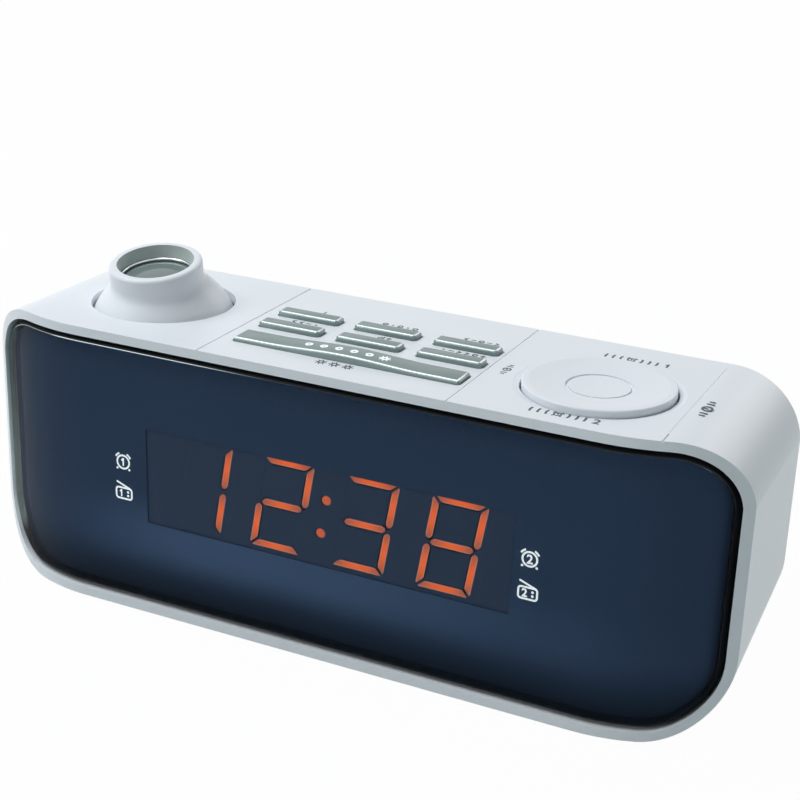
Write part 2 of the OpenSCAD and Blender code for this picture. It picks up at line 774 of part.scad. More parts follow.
module key_front_left() key_cap(key_spots[0]);
module key_front_middle() key_cap(key_spots[1]);
module key_front_right() key_cap(key_spots[2]);
module key_rear_left() key_cap(key_spots[3]);
module key_rear_middle() key_cap(key_spots[4]);
module key_rear_right() key_cap(key_spots[5]);

// Height of the snooze bar's top at t, from -1 at one end to 1 at the other.
function crown(t) =
    snooze_rise + snooze_crown * (abs(t) < 0.72 ? (1 + cos(180 * t / 0.72)) / 2 : 0);

// The bar's section at x: a box with a bevelled top, drawn in by pinch at the ends.
function snooze_section(x, top, pinch) =
    let (half = snooze_d / 2, low = deck_under - fit_gap, b = key_bevel)
    [
        [x, half - pinch, low], [x, half - pinch, top - b - pinch],
        [x, half - b - pinch, top - pinch], [x, -half + b + pinch, top - pinch],
        [x, -half + pinch, top - b - pinch], [x, -half + pinch, low]
    ];

module snooze_bar() color("darkgray") tilted() translate([key_x, snooze_y, 0]) {
    steps = 28;
    half = snooze_w / 2;
    low = deck_under - fit_gap - lip_t;
    loft(concat(
        [snooze_section(-half, deck + crown(-1), key_bevel)],
        [for (i = [0:steps])
            let (t = -1 + 2 * i / steps)
            snooze_section(t * (half - key_bevel), deck + crown(t), 0)],
        [snooze_section(half, deck + crown(1), key_bevel)]
    ));
    translate([0, 0, low]) linear_extrude(lip_t)
        rounded_rect(snooze_w + 2 * key_gap + 2 * key_lip, snooze_d + 2 * key_gap + 2 * key_lip, key_r);
    for (s = [-1, 1]) translate([s * snooze_stem, 0, stem_end])
        cylinder(r = stem_r, h = low + over - stem_end);
}

// ---------------------------------------------------------------- rocker pad

module pad_bracket() color("dimgray") tilted() translate([pad_x, pad_y, gimbal_z]) difference() {
    union() {
        translate([-gimbal_r - fit_gap - ear_t, -4, switch_z - gimbal_z])
            cube([2 * (gimbal_r + fit_gap + ear_t), 8, 1.2]);
        mirrored_x() {
            rod_x(2.2, gimbal_r + fit_gap, gimbal_r + fit_gap + ear_t);
            translate([gimbal_r + fit_gap, -2.2, switch_z - gimbal_z]) cube([ear_t, 4.4, gimbal_z - switch_z]);
        }
    }
    rod_x(gimbal_pin_r + pin_gap, -far / 2, far / 2);
}

module pad_gimbal() color("gainsboro") tilted() translate([pad_x, pad_y, gimbal_z]) difference() {
    union() {
        translate([0, 0, -gimbal_h / 2]) cylinder(r = gimbal_r, h = gimbal_h);
        mirrored_x() rod_x(gimbal_pin_r, gimbal_r - 1, gimbal_r + fit_gap + ear_t);
    }
    translate([0, 0, -gimbal_h]) cylinder(r = gimbal_bore, h = 2 * gimbal_h);
    rotate([0, 0, 90]) rod_x(gimbal_pin_r + pin_gap, -far / 2, far / 2);
}

module rocker_pad() color("whitesmoke") tilted() translate([pad_x, pad_y, 0]) {
    top = deck + pad_rise;
    low = top - pad_t;
    dish_r = pad_r - 1.6;
    dish_ball = (dish_r * dish_r + pad_dish * pad_dish) / (2 * pad_dish);
    edge = 0.4;
    difference() {
        union() {
            translate([0, 0, low]) cylinder(r = pad_r, h = pad_t - edge);
            translate([0, 0, low]) cylinder(r = pad_r - edge, h = pad_t);
            translate([0, 0, top - edge]) rotate_extrude()
                translate([pad_r - edge, 0]) circle(r = edge);
        }
        translate([0, 0, top - pad_dish + dish_ball]) sphere(r = dish_ball, $fn = 200);
        translate([0, 0, top - pad_dish - 0.2]) difference() {
            cylinder(r = pad_ring_r + 0.3, h = 3);
            translate([0, 0, -1]) cylinder(r = pad_ring_r - 0.3, h = 5);
        }
    }
    translate([0, 0, gimbal_z - 1.6]) cylinder(r = gimbal_bore - 0.6, h = low - gimbal_z + 1.6 + over);
    translate([0, 0, gimbal_z]) rotate([0, 0, 90]) mirrored_x()
        rod_x(gimbal_pin_r, gimbal_bore - 1, gimbal_r);
    for (a = [0:90:270]) rotate([0, 0, a]) translate([pad_leg, 0, stem_end])
        cylinder(r = 1.3, h = low + over - stem_end);
}

// ---------------------------------------------------------------- projector

// Into the ball's own axes: z along the snout, origin at the ball's centre.
module at_ball() tilted() translate([-ball_x, ball_y, ball_z])
    rotate([0, 0, snout_turn]) rotate([snout_tilt, 0, 0]) children();

module projector_base() color("dimgray") tilted() {
    difference() {
        union() {
            translate([-ball_x, ball_y, base_floor]) cylinder(r = base_out, h = deck_under - base_floor);
            for (p = base_ears) translate([p[0], p[1], deck_under - 2.4 - 2]) cylinder(r = base_ear_r, h = 2);
            for (p = base_ears) hull() for (k = [0, 0.35])
                translate([p[0] + (-ball_x - p[0]) * k, p[1] + (ball_y - p[1]) * k, deck_under - 2.4 - 2])
                    cylinder(r = 1.6, h = 2, $fn = 12);
        }
        translate([-ball_x, ball_y, base_floor + 1.2]) cylinder(r = base_in, h = far);
        translate([-ball_x, ball_y, base_floor - 1]) cylinder(r = ball_r, h = far);
        for (p = base_ears) translate([p[0], p[1], 0]) cylinder(r = small_r + 0.2, h = far);
    }
}

module projector_screws() color("silver") tilted()
    for (p = base_ears) translate([p[0], p[1], deck_under - 4.4]) mirror([0, 0, 1]) screw(small_r, 4);

module projector_cradle() color("gainsboro") tilted() translate([-ball_x, ball_y, 0])
    rotate([0, 0, snout_turn]) difference() {
        translate([0, 0, cradle_top - cradle_h]) cylinder(r = cradle_out, h = cradle_h);
        translate([0, 0, cradle_top - cradle_h - 1]) cylinder(r = cradle_in, h = cradle_h + 2);
        translate([0, 0, ball_z]) rod_x(trunnion_r + pin_gap, -far / 2, far / 2);
    }

module projector_ball() color("whitesmoke") at_ball() {
    blend_h = sqrt(pow(ball_r + snout_blend, 2) - pow(snout_r + snout_blend, 2));
    touch = ball_r / (ball_r + snout_blend);
    rim = (snout_r - snout_bore_r) / 2 - 0.05;
    seat = snout_len - lens_deep - lens_t;
    low = -ball_r * 0.72;
    difference() {
        union() {
            intersection() {
                sphere(r = ball_r, $fn = 180);
                translate([0, 0, low]) cylinder(r = far, h = far);
            }
            cylinder(r = snout_r, h = snout_len - rim);
            translate([0, 0, snout_len - rim]) rotate_extrude()
                translate([snout_r - rim, 0]) circle(r = rim);
            cylinder(r = snout_r - rim, h = snout_len);
            rotate_extrude() difference() {
                polygon([
                    [snout_r - 1, blend_h], [snout_r + snout_blend, blend_h],
                    [(snout_r + snout_blend) * touch, blend_h * touch], [snout_r - 1, blend_h - snout_blend - 1]
                ]);
                translate([snout_r + snout_blend, blend_h]) circle(r = snout_blend);
            }
            mirrored_x() rod_x(trunnion_r, ball_r - 1, cradle_out);
        }
        translate([0, 0, seat]) cylinder(r = snout_bore_r, h = far);
        cylinder(r = snout_bore_r - 1, h = far);
        intersection() {
            sphere(r = ball_r - ball_wall, $fn = 180);
            translate([0, 0, -far]) cylinder(r = far, h = far + seat - 1.5);
        }
        translate([0, 0, low - 1]) cylinder(r = 10.4, h = 4);
    }
}

module projector_cap() color("dimgray") at_ball()
    translate([0, 0, -ball_r * 0.72]) cylinder(r = 10.4 - 0.1, h = 1.6);

module projector_lamp() color("white") at_ball() translate([0, 0, -ball_r * 0.72 + 1.6]) {
    cylinder(r = 9, h = 1.2);
    translate([0, 0, 1.2]) cylinder(r = 2.5, h = 2.4);
    translate([0, 0, 3.6]) sphere(r = 2.5);
}

module image_slide() color("slategray") at_ball() difference() {
    union() {
        translate([0, 0, -1]) cylinder(r = ball_r - ball_wall - 0.2, h = 2);
        translate([-6, -5, 1 - over]) cube([12, 10, 1.2]);
    }
    translate([-4.5, -3, -2]) cube([9, 6, 2.4]);
}

module projector_lens() color("lightblue", 0.6) at_ball() intersection() {
    seat = snout_len - lens_deep - lens_t;
    dome = 26;
    translate([0, 0, seat]) cylinder(r = snout_bore_r - 0.1, h = lens_t + 1);
    translate([0, 0, seat + lens_t + 0.9 - dome]) sphere(r = dome, $fn = 200);
}

module lens_ring() color("gainsboro") at_ball() {
    seat = snout_len - lens_deep - lens_t;
    dome = 26;
    rest = seat + lens_t + 0.9 - dome + sqrt(pow(dome, 2) - pow(snout_bore_r - 0.9, 2));
    translate([0, 0, rest + 0.1]) difference() {
        cylinder(r = snout_bore_r - 0.1, h = 0.8);
        translate([0, 0, -1]) cylinder(r = snout_bore_r - 0.9, h = 3);
    }
}

// ---------------------------------------------------------------- nodes

housing();
front_frame();
display_panel();
display_module();
digit_bars();
main_board();
radio_chip();
tuner_can();
capacitors();
board_screws();
rear_cover();
case_screws();
speaker_basket();
speaker_cone();
speaker_magnet();
dc_inlet();
aerial_grommet();
rubber_feet();
backup_cells();
battery_contacts();
battery_door();
key_board();
key_switches();
key_screws();
key_front_left();
key_front_middle();
key_front_right();
key_rear_left();
key_rear_middle();
key_rear_right();
snooze_bar();
pad_bracket();
pad_gimbal();
rocker_pad();
projector_base();
projector_screws();
projector_cradle();
projector_ball();
projector_cap();
projector_lens();
lens_ring();
image_slide();
projector_lamp();
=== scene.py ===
# %% [markdown]
# # A projection alarm clock
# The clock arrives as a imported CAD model: every solid is already in its place, in metres, with the table at
# z = 0 and the display facing -Y. This script gives each solid its finish, models the pieces that need
# finer form than the CAD has, and sets the light and the camera.

import json
import math

import bmesh
import bpy
from mathutils import Matrix, Vector


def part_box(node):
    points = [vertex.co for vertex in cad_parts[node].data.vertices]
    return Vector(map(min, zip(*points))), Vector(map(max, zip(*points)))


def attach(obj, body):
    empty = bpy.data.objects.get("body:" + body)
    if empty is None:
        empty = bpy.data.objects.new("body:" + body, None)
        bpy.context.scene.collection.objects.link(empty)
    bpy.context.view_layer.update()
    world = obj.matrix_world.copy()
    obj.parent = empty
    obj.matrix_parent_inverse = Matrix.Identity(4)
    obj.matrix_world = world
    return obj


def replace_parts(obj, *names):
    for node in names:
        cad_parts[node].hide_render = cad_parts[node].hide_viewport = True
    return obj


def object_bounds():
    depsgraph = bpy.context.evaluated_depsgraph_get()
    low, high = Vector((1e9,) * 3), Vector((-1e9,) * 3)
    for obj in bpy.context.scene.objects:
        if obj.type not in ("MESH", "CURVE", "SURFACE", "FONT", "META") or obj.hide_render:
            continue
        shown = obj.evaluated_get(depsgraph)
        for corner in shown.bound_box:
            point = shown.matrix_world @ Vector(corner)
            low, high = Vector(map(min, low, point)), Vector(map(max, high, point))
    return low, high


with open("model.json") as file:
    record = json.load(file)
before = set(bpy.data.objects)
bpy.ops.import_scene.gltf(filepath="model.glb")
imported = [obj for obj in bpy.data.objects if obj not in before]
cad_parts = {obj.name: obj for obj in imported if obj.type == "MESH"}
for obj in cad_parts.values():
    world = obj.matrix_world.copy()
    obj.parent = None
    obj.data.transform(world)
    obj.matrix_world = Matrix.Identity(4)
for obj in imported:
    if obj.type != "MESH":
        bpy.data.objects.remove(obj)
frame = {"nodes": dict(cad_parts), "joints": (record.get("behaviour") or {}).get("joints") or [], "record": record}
cad_low, cad_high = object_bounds()
joints = {joint["name"]: joint for joint in frame["joints"]}

# %% [markdown]
# The case leans back on its base, so its panel and deck aren't square to the table. Everything on it is
# easier to place in the case's own axes: x to the right, y back from the front face, z up from the front
# bottom edge, in millimetres. One matrix takes those axes to the table's. Its lean is that of the upright
# that the projector turns about, and its origin is the lowest front corner of the housing.

# %% The case's own axes
MM = 0.001
upright = Vector(joints["projector_turn"]["axis"])
lean = math.atan2(upright.y, upright.z)
case_corner = Vector((0, cad_low.y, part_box("housing")[0].z))
case_axes = Matrix.Translation(case_corner) @ Matrix.Rotation(-lean, 4, "X") @ Matrix.Scale(MM, 4)
CASE_H, WALL = 72.0, 2.3
print("the case leans back", round(math.degrees(lean), 2), "degrees")

# %% [markdown]
# The camera stands to the right of the clock and above it. Its turn, dip and roll are given in the case's
# own axes, as its place is, and the same matrix brings it to the table. The focal length is written for an
# image 800 pixels wide, so it is turned into millimetres on a 36 mm sensor.

# %% Camera
IMAGE, FOCAL_PIXELS, SENSOR = 800, 1645.1, 36
CAMERA_AT = Vector((161.9, -302.4, 199.9))
CAMERA_TURN, CAMERA_DIP, CAMERA_ROLL = -0.4369, 0.3709, 0.0348
CLIP = 0.01, 20


def camera_turning():
    ahead = Vector((math.sin(CAMERA_TURN) * math.cos(CAMERA_DIP),
                    math.cos(CAMERA_TURN) * math.cos(CAMERA_DIP), -math.sin(CAMERA_DIP)))
    right = Vector((math.cos(CAMERA_TURN), -math.sin(CAMERA_TURN), 0))
    up = right.cross(ahead)
    rolled_right = right * math.cos(CAMERA_ROLL) + up * math.sin(CAMERA_ROLL)
    rolled_up = up * math.cos(CAMERA_ROLL) - right * math.sin(CAMERA_ROLL)
    return Matrix((rolled_right, rolled_up, -ahead)).transposed().to_4x4()


camera = bpy.data.objects.new("camera", bpy.data.cameras.new("camera"))
bpy.context.scene.collection.objects.link(camera)
camera.data.sensor_width = SENSOR
camera.data.lens = FOCAL_PIXELS * SENSOR / IMAGE
camera.data.clip_start, camera.data.clip_end = CLIP
camera.matrix_world = (Matrix.Translation(case_axes @ CAMERA_AT) @ Matrix.Rotation(-lean, 4, "X")
                       @ camera_turning())
bpy.context.scene.camera = camera
print("lens", round(camera.data.lens, 2), "mm at", [round(c, 3) for c in camera.location])

# %% [markdown]
# Shader nodes are joined in the same few ways all through this script, so a few small helpers do it: they
# set a socket or link it, add a node with its settings and sockets, and give back what it puts out.

# %% Helpers for shader nodes
def feed(tree, value, socket):
    if isinstance(value, bpy.types.NodeSocket):
        tree.links.new(value, socket)
    else:
        socket.default_value = value


def add_node(tree, kind, sockets=None, **settings):
    node = tree.nodes.new(kind)
    for name, setting in settings.items():
        setattr(node, name, setting)
    for name, value in (sockets or {}).items():
        feed(tree, value, node.inputs[name])
    return node


def add_math(tree, operation, *terms):
    node = add_node(tree, "ShaderNodeMath", operation=operation)
    for socket, term in zip(node.inputs, terms):
        feed(tree, term, socket)
    return node.outputs[0]


def mix_shaders(tree, share, first, second):
    mix = add_node(tree, "ShaderNodeMixShader", {"Fac": share})
    tree.links.new(first.outputs[0], mix.inputs[1])
    tree.links.new(second.outputs[0], mix.inputs[2])
    return mix.outputs[0]


def mix_colours(tree, share, first, second):
    mix = add_node(tree, "ShaderNodeMix", {"Factor": share, "A": first, "B": second}, data_type="RGBA")
    return mix.outputs["Result"]


def scale_colour(tree, colour, by):
    scaled = add_node(tree, "ShaderNodeVectorMath", {"Scale": by}, operation="SCALE")
    tree.links.new(colour, scaled.inputs[0])
    return scaled.outputs[0]


def map_range(tree, value, near, far, top=1.0, steps="SMOOTHSTEP"):
    """0 at near, top at far, and smooth between."""
    ends = {"Value": value, "From Min": near, "From Max": far, "To Max": top}
    return add_node(tree, "ShaderNodeMapRange", ends, interpolation_type=steps).outputs[0]


def colour_ramp(tree, value, stops):
    ramp = tree.nodes.new("ShaderNodeValToRGB")
    tree.links.new(value, ramp.inputs[0])
    for position, _ in stops[1:-1]:
        ramp.color_ramp.elements.new(position)
    for element, (position, colour) in zip(ramp.color_ramp.elements, stops):
        element.position, element.color = position, (*colour, 1)
    return ramp.outputs[0]


def object_place(tree):
    """Coordinates that stay with the piece, in metres of the table's frame."""
    return tree.nodes.new("ShaderNodeTexCoord").outputs["Object"]


def split_place(tree):
    return add_node(tree, "ShaderNodeSeparateXYZ", {"Vector": object_place(tree)}).outputs


def new_surface(name, sockets):
    """A material with nodes, its node tree and its Principled shader, whose own sockets are set."""
    material = bpy.data.materials.new(name)
    material.use_nodes = True
    surface = material.node_tree.nodes["Principled BSDF"]
    for socket, value in sockets.items():
        surface.inputs[socket].default_value = value
    return material, material.node_tree, surface


print("shader helpers ready")

# %% [markdown]
# The studio is a white sweep: a floor that a camera, a mirror or a lens sees as almost pure white, with the
# clock's soft shadow left in it. A white floor could be had by turning the lamps up, but that would burn
# out the pale case. So the Light Path node tells the two cases apart: what looks at the floor directly gets
# a white glow mixed into it, and what is only lit by the floor gets plain matt paint. The world does the
# same. The floor lies a hair below the feet, so that the two don't share one plane.

# %% Floor and world
WHITE = (1, 1, 1, 1)
SWEEP_WHITE, SWEEP_PAINT, SWEEP_ROUGH = 0.975, (0.62, 0.71, 0.71, 1), 0.9
FLOOR_DROP, FLOOR_HALF = 0.0001, 6
AMBIENT, AMBIENT_TINT = 0.10, (0.91, 1, 1, 1)


def seen_directly(tree):
    """Is Camera Ray or Is Glossy Ray or Is Transmission Ray, as 0 or 1."""
    path = tree.nodes.new("ShaderNodeLightPath").outputs
    either = add_math(tree, "MAXIMUM", path["Is Camera Ray"], path["Is Glossy Ray"])
    return add_math(tree, "MAXIMUM", either, path["Is Transmission Ray"])


def sweep_material():
    material, tree, paint = new_surface("white_sweep", {"Base Color": SWEEP_PAINT, "Roughness": SWEEP_ROUGH})
    glow = add_node(tree, "ShaderNodeEmission", {"Color": WHITE})
    share = add_math(tree, "MULTIPLY", seen_directly(tree), SWEEP_WHITE)
    tree.links.new(mix_shaders(tree, share, paint, glow), tree.nodes["Material Output"].inputs["Surface"])
    return material


def add_floor():
    bm = bmesh.new()
    bmesh.ops.create_grid(bm, x_segments=2, y_segments=2, size=FLOOR_HALF,
                          matrix=Matrix.Translation((0, 0, -FLOOR_DROP)))
    mesh = bpy.data.meshes.new("floor")
    bm.to_mesh(mesh)
    bm.free()
    floor = bpy.data.objects.new("floor", mesh)
    mesh.materials.append(sweep_material())
    bpy.context.scene.collection.objects.link(floor)


def set_world():
    world = bpy.data.worlds.new("studio")
    world.use_nodes = True
    tree = world.node_tree
    lit = tree.nodes["Background"]
    lit.inputs["Color"].default_value = AMBIENT_TINT
    lit.inputs["Strength"].default_value = AMBIENT
    seen = add_node(tree, "ShaderNodeBackground", {"Color": WHITE})
    shown = mix_shaders(tree, seen_directly(tree), lit, seen)
    tree.links.new(shown, tree.nodes["World Output"].inputs["Surface"])
    bpy.context.scene.world = world


add_floor()
set_world()
bpy.context.scene.view_settings.view_transform = "Standard"
print("floor and world ready")

# %% [markdown]
# Four soft boxes light the clock. The large one overhead makes the deck its brightest face and leaves the
# right end a little darker, which shows the form of a white object on white. One behind on the right lights
# the back and stays out of the deck's mirror direction, where it would haze it. One at the front left opens
# up the rim and the print behind the panel, and a weak low one lifts the right end. A box lamp's power is
# worked out from the light it has to give: power = light x pi^2 x distance^2.

# %% Lamps
CLOCK_MIDDLE = Vector((0, 0, 0.05))
LAMPS = (
    # name, place, size, light, tint
    ("overhead", (-0.54, -0.06, 1.12), (1.0, 0.9), 0.92, (0.93, 0.97, 1)),
    ("rear_right", (0.4, 1.0, 0.45), (0.7, 0.7), 0.18, (1, 0.98, 0.97)),
    ("front_left", (-0.9, -0.9, 0.55), (0.6, 0.6), 0.13, (1, 1, 1)),
    ("low_right", (1.1, -0.25, 0.22), (0.6, 0.4), 0.08, (0.9, 0.98, 1)),
)


def add_soft_box(name, place, size, light, tint):
    lamp = bpy.data.lights.new(name, "AREA")
    lamp.shape = "RECTANGLE"
    lamp.size, lamp.size_y = size
    way = CLOCK_MIDDLE - Vector(place)
    lamp.energy = light * math.pi ** 2 * way.length ** 2
    lamp.color = tint
    holder = bpy.data.objects.new(name, lamp)
    holder.location = place
    holder.rotation_euler = way.to_track_quat("-Z", "Y").to_euler()
    bpy.context.scene.collection.objects.link(holder)
    print(name, round(lamp.energy, 1), "W")


for soft_box in LAMPS:
    add_soft_box(*soft_box)

# %% [markdown]
# Nearly every piece of the clock is moulded plastic, so one node group carries what all mouldings share: a
# very slight clouding of the colour from the melt's flow, a roughness that wanders a little, and the fine
# skin of the tool, too small to see but enough to break up a highlight. Each material sets its own amounts.
# The group gives out only colours, values and a normal, and the Principled shader stays in the material.

# %% The moulded skin, shared by the plastics
FLOW_SCALE, FLOW_DETAIL, GRAIN_DETAIL, BUMP_HEIGHT = 45, 3, 2, 0.0001
SKIN_SOCKETS = {
    "INPUT": {"Colour": "Color", "Clouding": "Float", "Roughness": "Float", "Wander": "Float",
              "Grain Scale": "Float", "Grain Depth": "Float"},
    "OUTPUT": {"Colour": "Color", "Roughness": "Float", "Normal": "Vector"},
}


def moulded_skin_group():
    tree = bpy.data.node_groups.new("moulded_skin", "ShaderNodeTree")
    for way, kinds in SKIN_SOCKETS.items():
        for name, kind in kinds.items():
            tree.interface.new_socket(name=name, in_out=way, socket_type="NodeSocket" + kind)
    given = tree.nodes.new("NodeGroupInput").outputs
    made = tree.nodes.new("NodeGroupOutput").inputs
    place = object_place(tree)

    flow = add_node(tree, "ShaderNodeTexNoise", {"Vector": place, "Scale": FLOW_SCALE, "Detail": FLOW_DETAIL})
    centred = add_math(tree, "SUBTRACT", flow.outputs["Fac"], 0.5)
    tone = add_math(tree, "MULTIPLY_ADD", centred, given["Clouding"], 1)
    tree.links.new(scale_colour(tree, given["Colour"], tone), made["Colour"])
    rough = add_math(tree, "MULTIPLY_ADD", centred, given["Wander"], given["Roughness"])
    tree.links.new(rough, made["Roughness"])

    grain = add_node(tree, "ShaderNodeTexNoise",
                     {"Vector": place, "Scale": given["Grain Scale"], "Detail": GRAIN_DETAIL})
    bump = add_node(tree, "ShaderNodeBump", {"Distance": BUMP_HEIGHT, "Strength": given["Grain Depth"],
                                             "Height": grain.outputs["Fac"]})
    tree.links.new(bump.outputs[0], made["Normal"])
    return tree


moulded_skin = moulded_skin_group()


def moulded(name, colour, roughness, sockets=None, clouding=0.03, wander=0.05, grain_scale=2500,
            grain_depth=0.02):
    """A plastic with the moulded skin. Sockets are those to set on the Principled shader itself."""
    material, tree, plastic = new_surface(name, sockets or {})
    skin = add_node(tree, "ShaderNodeGroup", node_tree=moulded_skin)
    amounts = ((*colour, 1), clouding, roughness, wander, grain_scale, grain_depth)
    for socket, amount in zip(SKIN_SOCKETS["INPUT"], amounts):
        skin.inputs[socket].default_value = amount
    for socket, taker in (("Colour", "Base Color"), ("Roughness", "Roughness"), ("Normal", "Normal")):
        tree.links.new(skin.outputs[socket], plastic.inputs[taker])
    return material


case_white = moulded("case_white", (0.82, 0.85, 0.89), 0.34, {"Specular IOR Level": 0.33})
black_plastic = moulded("black_plastic", (0.012, 0.014, 0.02), 0.5, clouding=0.2, grain_depth=0.2)
display_grey = moulded("display_grey", (0.088, 0.143, 0.270), 0.6, clouding=0.1, grain_depth=0)
inner_white = moulded("inner_white", (0.76, 0.77, 0.78), 0.42)
foot_rubber = moulded("foot_rubber", (0.12, 0.125, 0.13), 0.75, clouding=0.15, grain_scale=1600,
                      grain_depth=0.5)
print("plastics:", case_white.name, black_plastic.name, display_grey.name, inner_white.name, foot_rubber.name)

# %% [markdown]
# The keys and the snooze bar are plastic sprayed with a satin silver paint. Real flake paint is made of
# tiny mirrors, so the shader is part metal, with a fine noise that turns the flakes a little one way and
# another. A brighter band round the top of each key is a painted highlight.

# %% Satin silver for the keys
key_silver = moulded("key_silver", (0.20, 0.26, 0.255), 0.36, {"Metallic": 0.25}, clouding=0.06,
                     grain_scale=4200, grain_depth=0.12)
# The brighter band round the top of each key is a painted highlight.
key_highlight = moulded("key_painted_highlight", (0.66, 0.72, 0.72), 0.16, {"Metallic": 0.5}, clouding=0.02)
print("paint:", key_silver.name, key_highlight.name)

# %% [markdown]
# The display panel is smoked acrylic, polished on its face. It could be true glass, but light would then
# have to find its way through two faces to reach the bars behind, which is slow and noisy. A
# part-transparent gloss plastic does the same job: it darkens what is behind it and mirrors the room a
# little, in a bluish tone.
#
# The depth of its colour comes from a film on its back, printed navy. The print fades to black at its edges,
# partly a printed border and partly painted shade, and a lighter band low down is painted light, standing for
# the light the sheet takes in from the table. Over the display the film has only a nearly clear lacquer. The
# sheet's rounded side carries painted light: a painted highlight along the top left, a paler painted sheen
# down the left end, and painted shade elsewhere.

# %% Smoked acrylic, its print and its painted light
# Where the print fades to black, partly a printed border and partly painted shade, and where its band of painted
# light lies.
PRINT_BORDER_AND_SHADE_ACROSS = (-0.130, -0.052), (0.0965, 0.090)
PRINT_BORDER_AND_SHADE_UPWARD = (0.001, 0.0225), (0.0775, 0.0725)
PAINTED_LIGHT_BAND_ACROSS = (-0.085, -0.025), (0.110, -0.030)
PAINTED_LIGHT_BAND_UPWARD = (0.008, 0.019), (0.034, 0.022)
# Painted highlight along the rounded side's top left, and painted sheen down its left end, paler low down.
EDGE_HIGHLIGHT_ACROSS = (-0.098, -0.092), (-0.010, -0.040)
RIM_SHEEN_ACROSS = (-0.11, -0.105), (-0.0895, -0.0930)
RIM_SHEEN_PALING = 0.072, 0.018


def edge_fade(tree, along, low, high):
    """0 outside low[0]..high[0] along an axis of the table's frame, 1 inside low[1]..high[1]."""
    rises = [map_range(tree, along, *ends, steps="SMOOTHERSTEP") for ends in (low, high)]
    return add_math(tree, "MULTIPLY", *rises)


def skin_colour(material):
    """Its node tree, the colour that its moulded skin gives, and the shader's socket that takes a colour."""
    tree = material.node_tree
    skin = next(node for node in tree.nodes if node.type == "GROUP")
    return tree, skin.outputs["Colour"], tree.nodes["Principled BSDF"].inputs["Base Color"]


def print_with_painted_light(name, navy, black):
    material = moulded(name, navy, 0.6, {"Specular IOR Level": 0}, clouding=0.12, grain_depth=0.05)
    tree, colour, base = skin_colour(material)
    place = split_place(tree)
    # The fade to black at the edges: partly a printed border, partly painted shade.
    share = add_math(tree, "MULTIPLY", edge_fade(tree, place["X"], *PRINT_BORDER_AND_SHADE_ACROSS),
                     edge_fade(tree, place["Z"], *PRINT_BORDER_AND_SHADE_UPWARD))
    # The lighter band low down is painted light, as if taken in from the table.
    lift = add_math(tree, "MULTIPLY_ADD", edge_fade(tree, place["X"], *PAINTED_LIGHT_BAND_ACROSS),
                    edge_fade(tree, place["Z"], *PAINTED_LIGHT_BAND_UPWARD), 1)
    tree.links.new(mix_colours(tree, share, (*black, 1), scale_colour(tree, colour, lift)), base)
    return material


def polished_side_painted_light(name, bright, dark, across, roughness, sockets, pale=None):
    """Painted highlight or sheen between two places along X, painted shade outside; pale low down if given."""
    material = moulded(name, bright, roughness, sockets, clouding=0.1, grain_depth=0.01)
    tree, colour, base = skin_colour(material)
    place = split_place(tree)
    if pale:
        colour = mix_colours(tree, map_range(tree, place["Z"], *RIM_SHEEN_PALING), colour, (*pale, 1))
    tree.links.new(mix_colours(tree, edge_fade(tree, place["X"], *across), (*dark, 1), colour), base)
    return material


smoked_panel = moulded("smoked_panel", (0.002, 0.004, 0.008), 0.05,
                       {"Alpha": 0.25, "Specular IOR Level": 0.3, "Specular Tint": (0.35, 0.62, 1, 1)},
                       clouding=0.1, wander=0.01, grain_scale=300, grain_depth=0.003)
# The rounded side's colours are painted light: a highlight along the top left, a sheen down the left end, shade
# elsewhere.
panel_edge_highlight = polished_side_painted_light("panel_edge_highlight", (0.24, 0.27, 0.28), (0.02, 0.025, 0.03), EDGE_HIGHLIGHT_ACROSS, 0.12,
                           {"Metallic": 0.9})
panel_rim_shade_and_sheen = polished_side_painted_light("panel_rim_shade_and_sheen", (0.20, 0.32, 0.34), (0.003, 0.004, 0.006), RIM_SHEEN_ACROSS, 0.25,
                          {"Specular IOR Level": 0.1}, pale=(0.90, 0.96, 0.93))
panel_backing = print_with_painted_light("panel_backing", (0.093, 0.152, 0.285), (0.002, 0.006, 0.009))
window_filter = moulded("window_filter", (0.03, 0.05, 0.08), 0.6, {"Alpha": 0.06, "Specular IOR Level": 0},
                        clouding=0.1, grain_depth=0)
print("acrylic and print:", smoked_panel.name, panel_backing.name)

# %% [markdown]
# The plainer hidden pieces get their own small materials: green solder mask on the boards, zinc-plated
# steel for screws, can and contacts, black paper for the speaker's cone, dull ferrite for its magnet and a
# printed sleeve round the two backup cells. They are seen through the grille, the open battery bay, or with
# the case apart, so each still has the pattern that the real one has.

# %% Boards, metal, paper and cells
PATTERN_DETAIL, LOW_AT, HIGH_AT = 4, 0.3, 0.7


def pattern_material(name, low, high, roughness, scale, metallic=0.0, stretch=(1, 1, 1), bump_depth=0.1):
    """Noise between two colours, stretched along an axis where the real surface is drawn or brushed."""
    material, tree, surface = new_surface(name, {"Roughness": roughness, "Metallic": metallic})
    place = add_node(tree, "ShaderNodeMapping", {"Scale": stretch, "Vector": object_place(tree)})
    noise = add_node(tree, "ShaderNodeTexNoise",
                     {"Vector": place.outputs[0], "Scale": scale, "Detail": PATTERN_DETAIL})
    colour = colour_ramp(tree, noise.outputs["Fac"], [(LOW_AT, low), (HIGH_AT, high)])
    tree.links.new(colour, surface.inputs["Base Color"])
    bump = add_node(tree, "ShaderNodeBump", {"Strength": bump_depth, "Distance": BUMP_HEIGHT,
                                             "Height": noise.outputs["Fac"]})
    tree.links.new(bump.outputs[0], surface.inputs["Normal"])
    return material


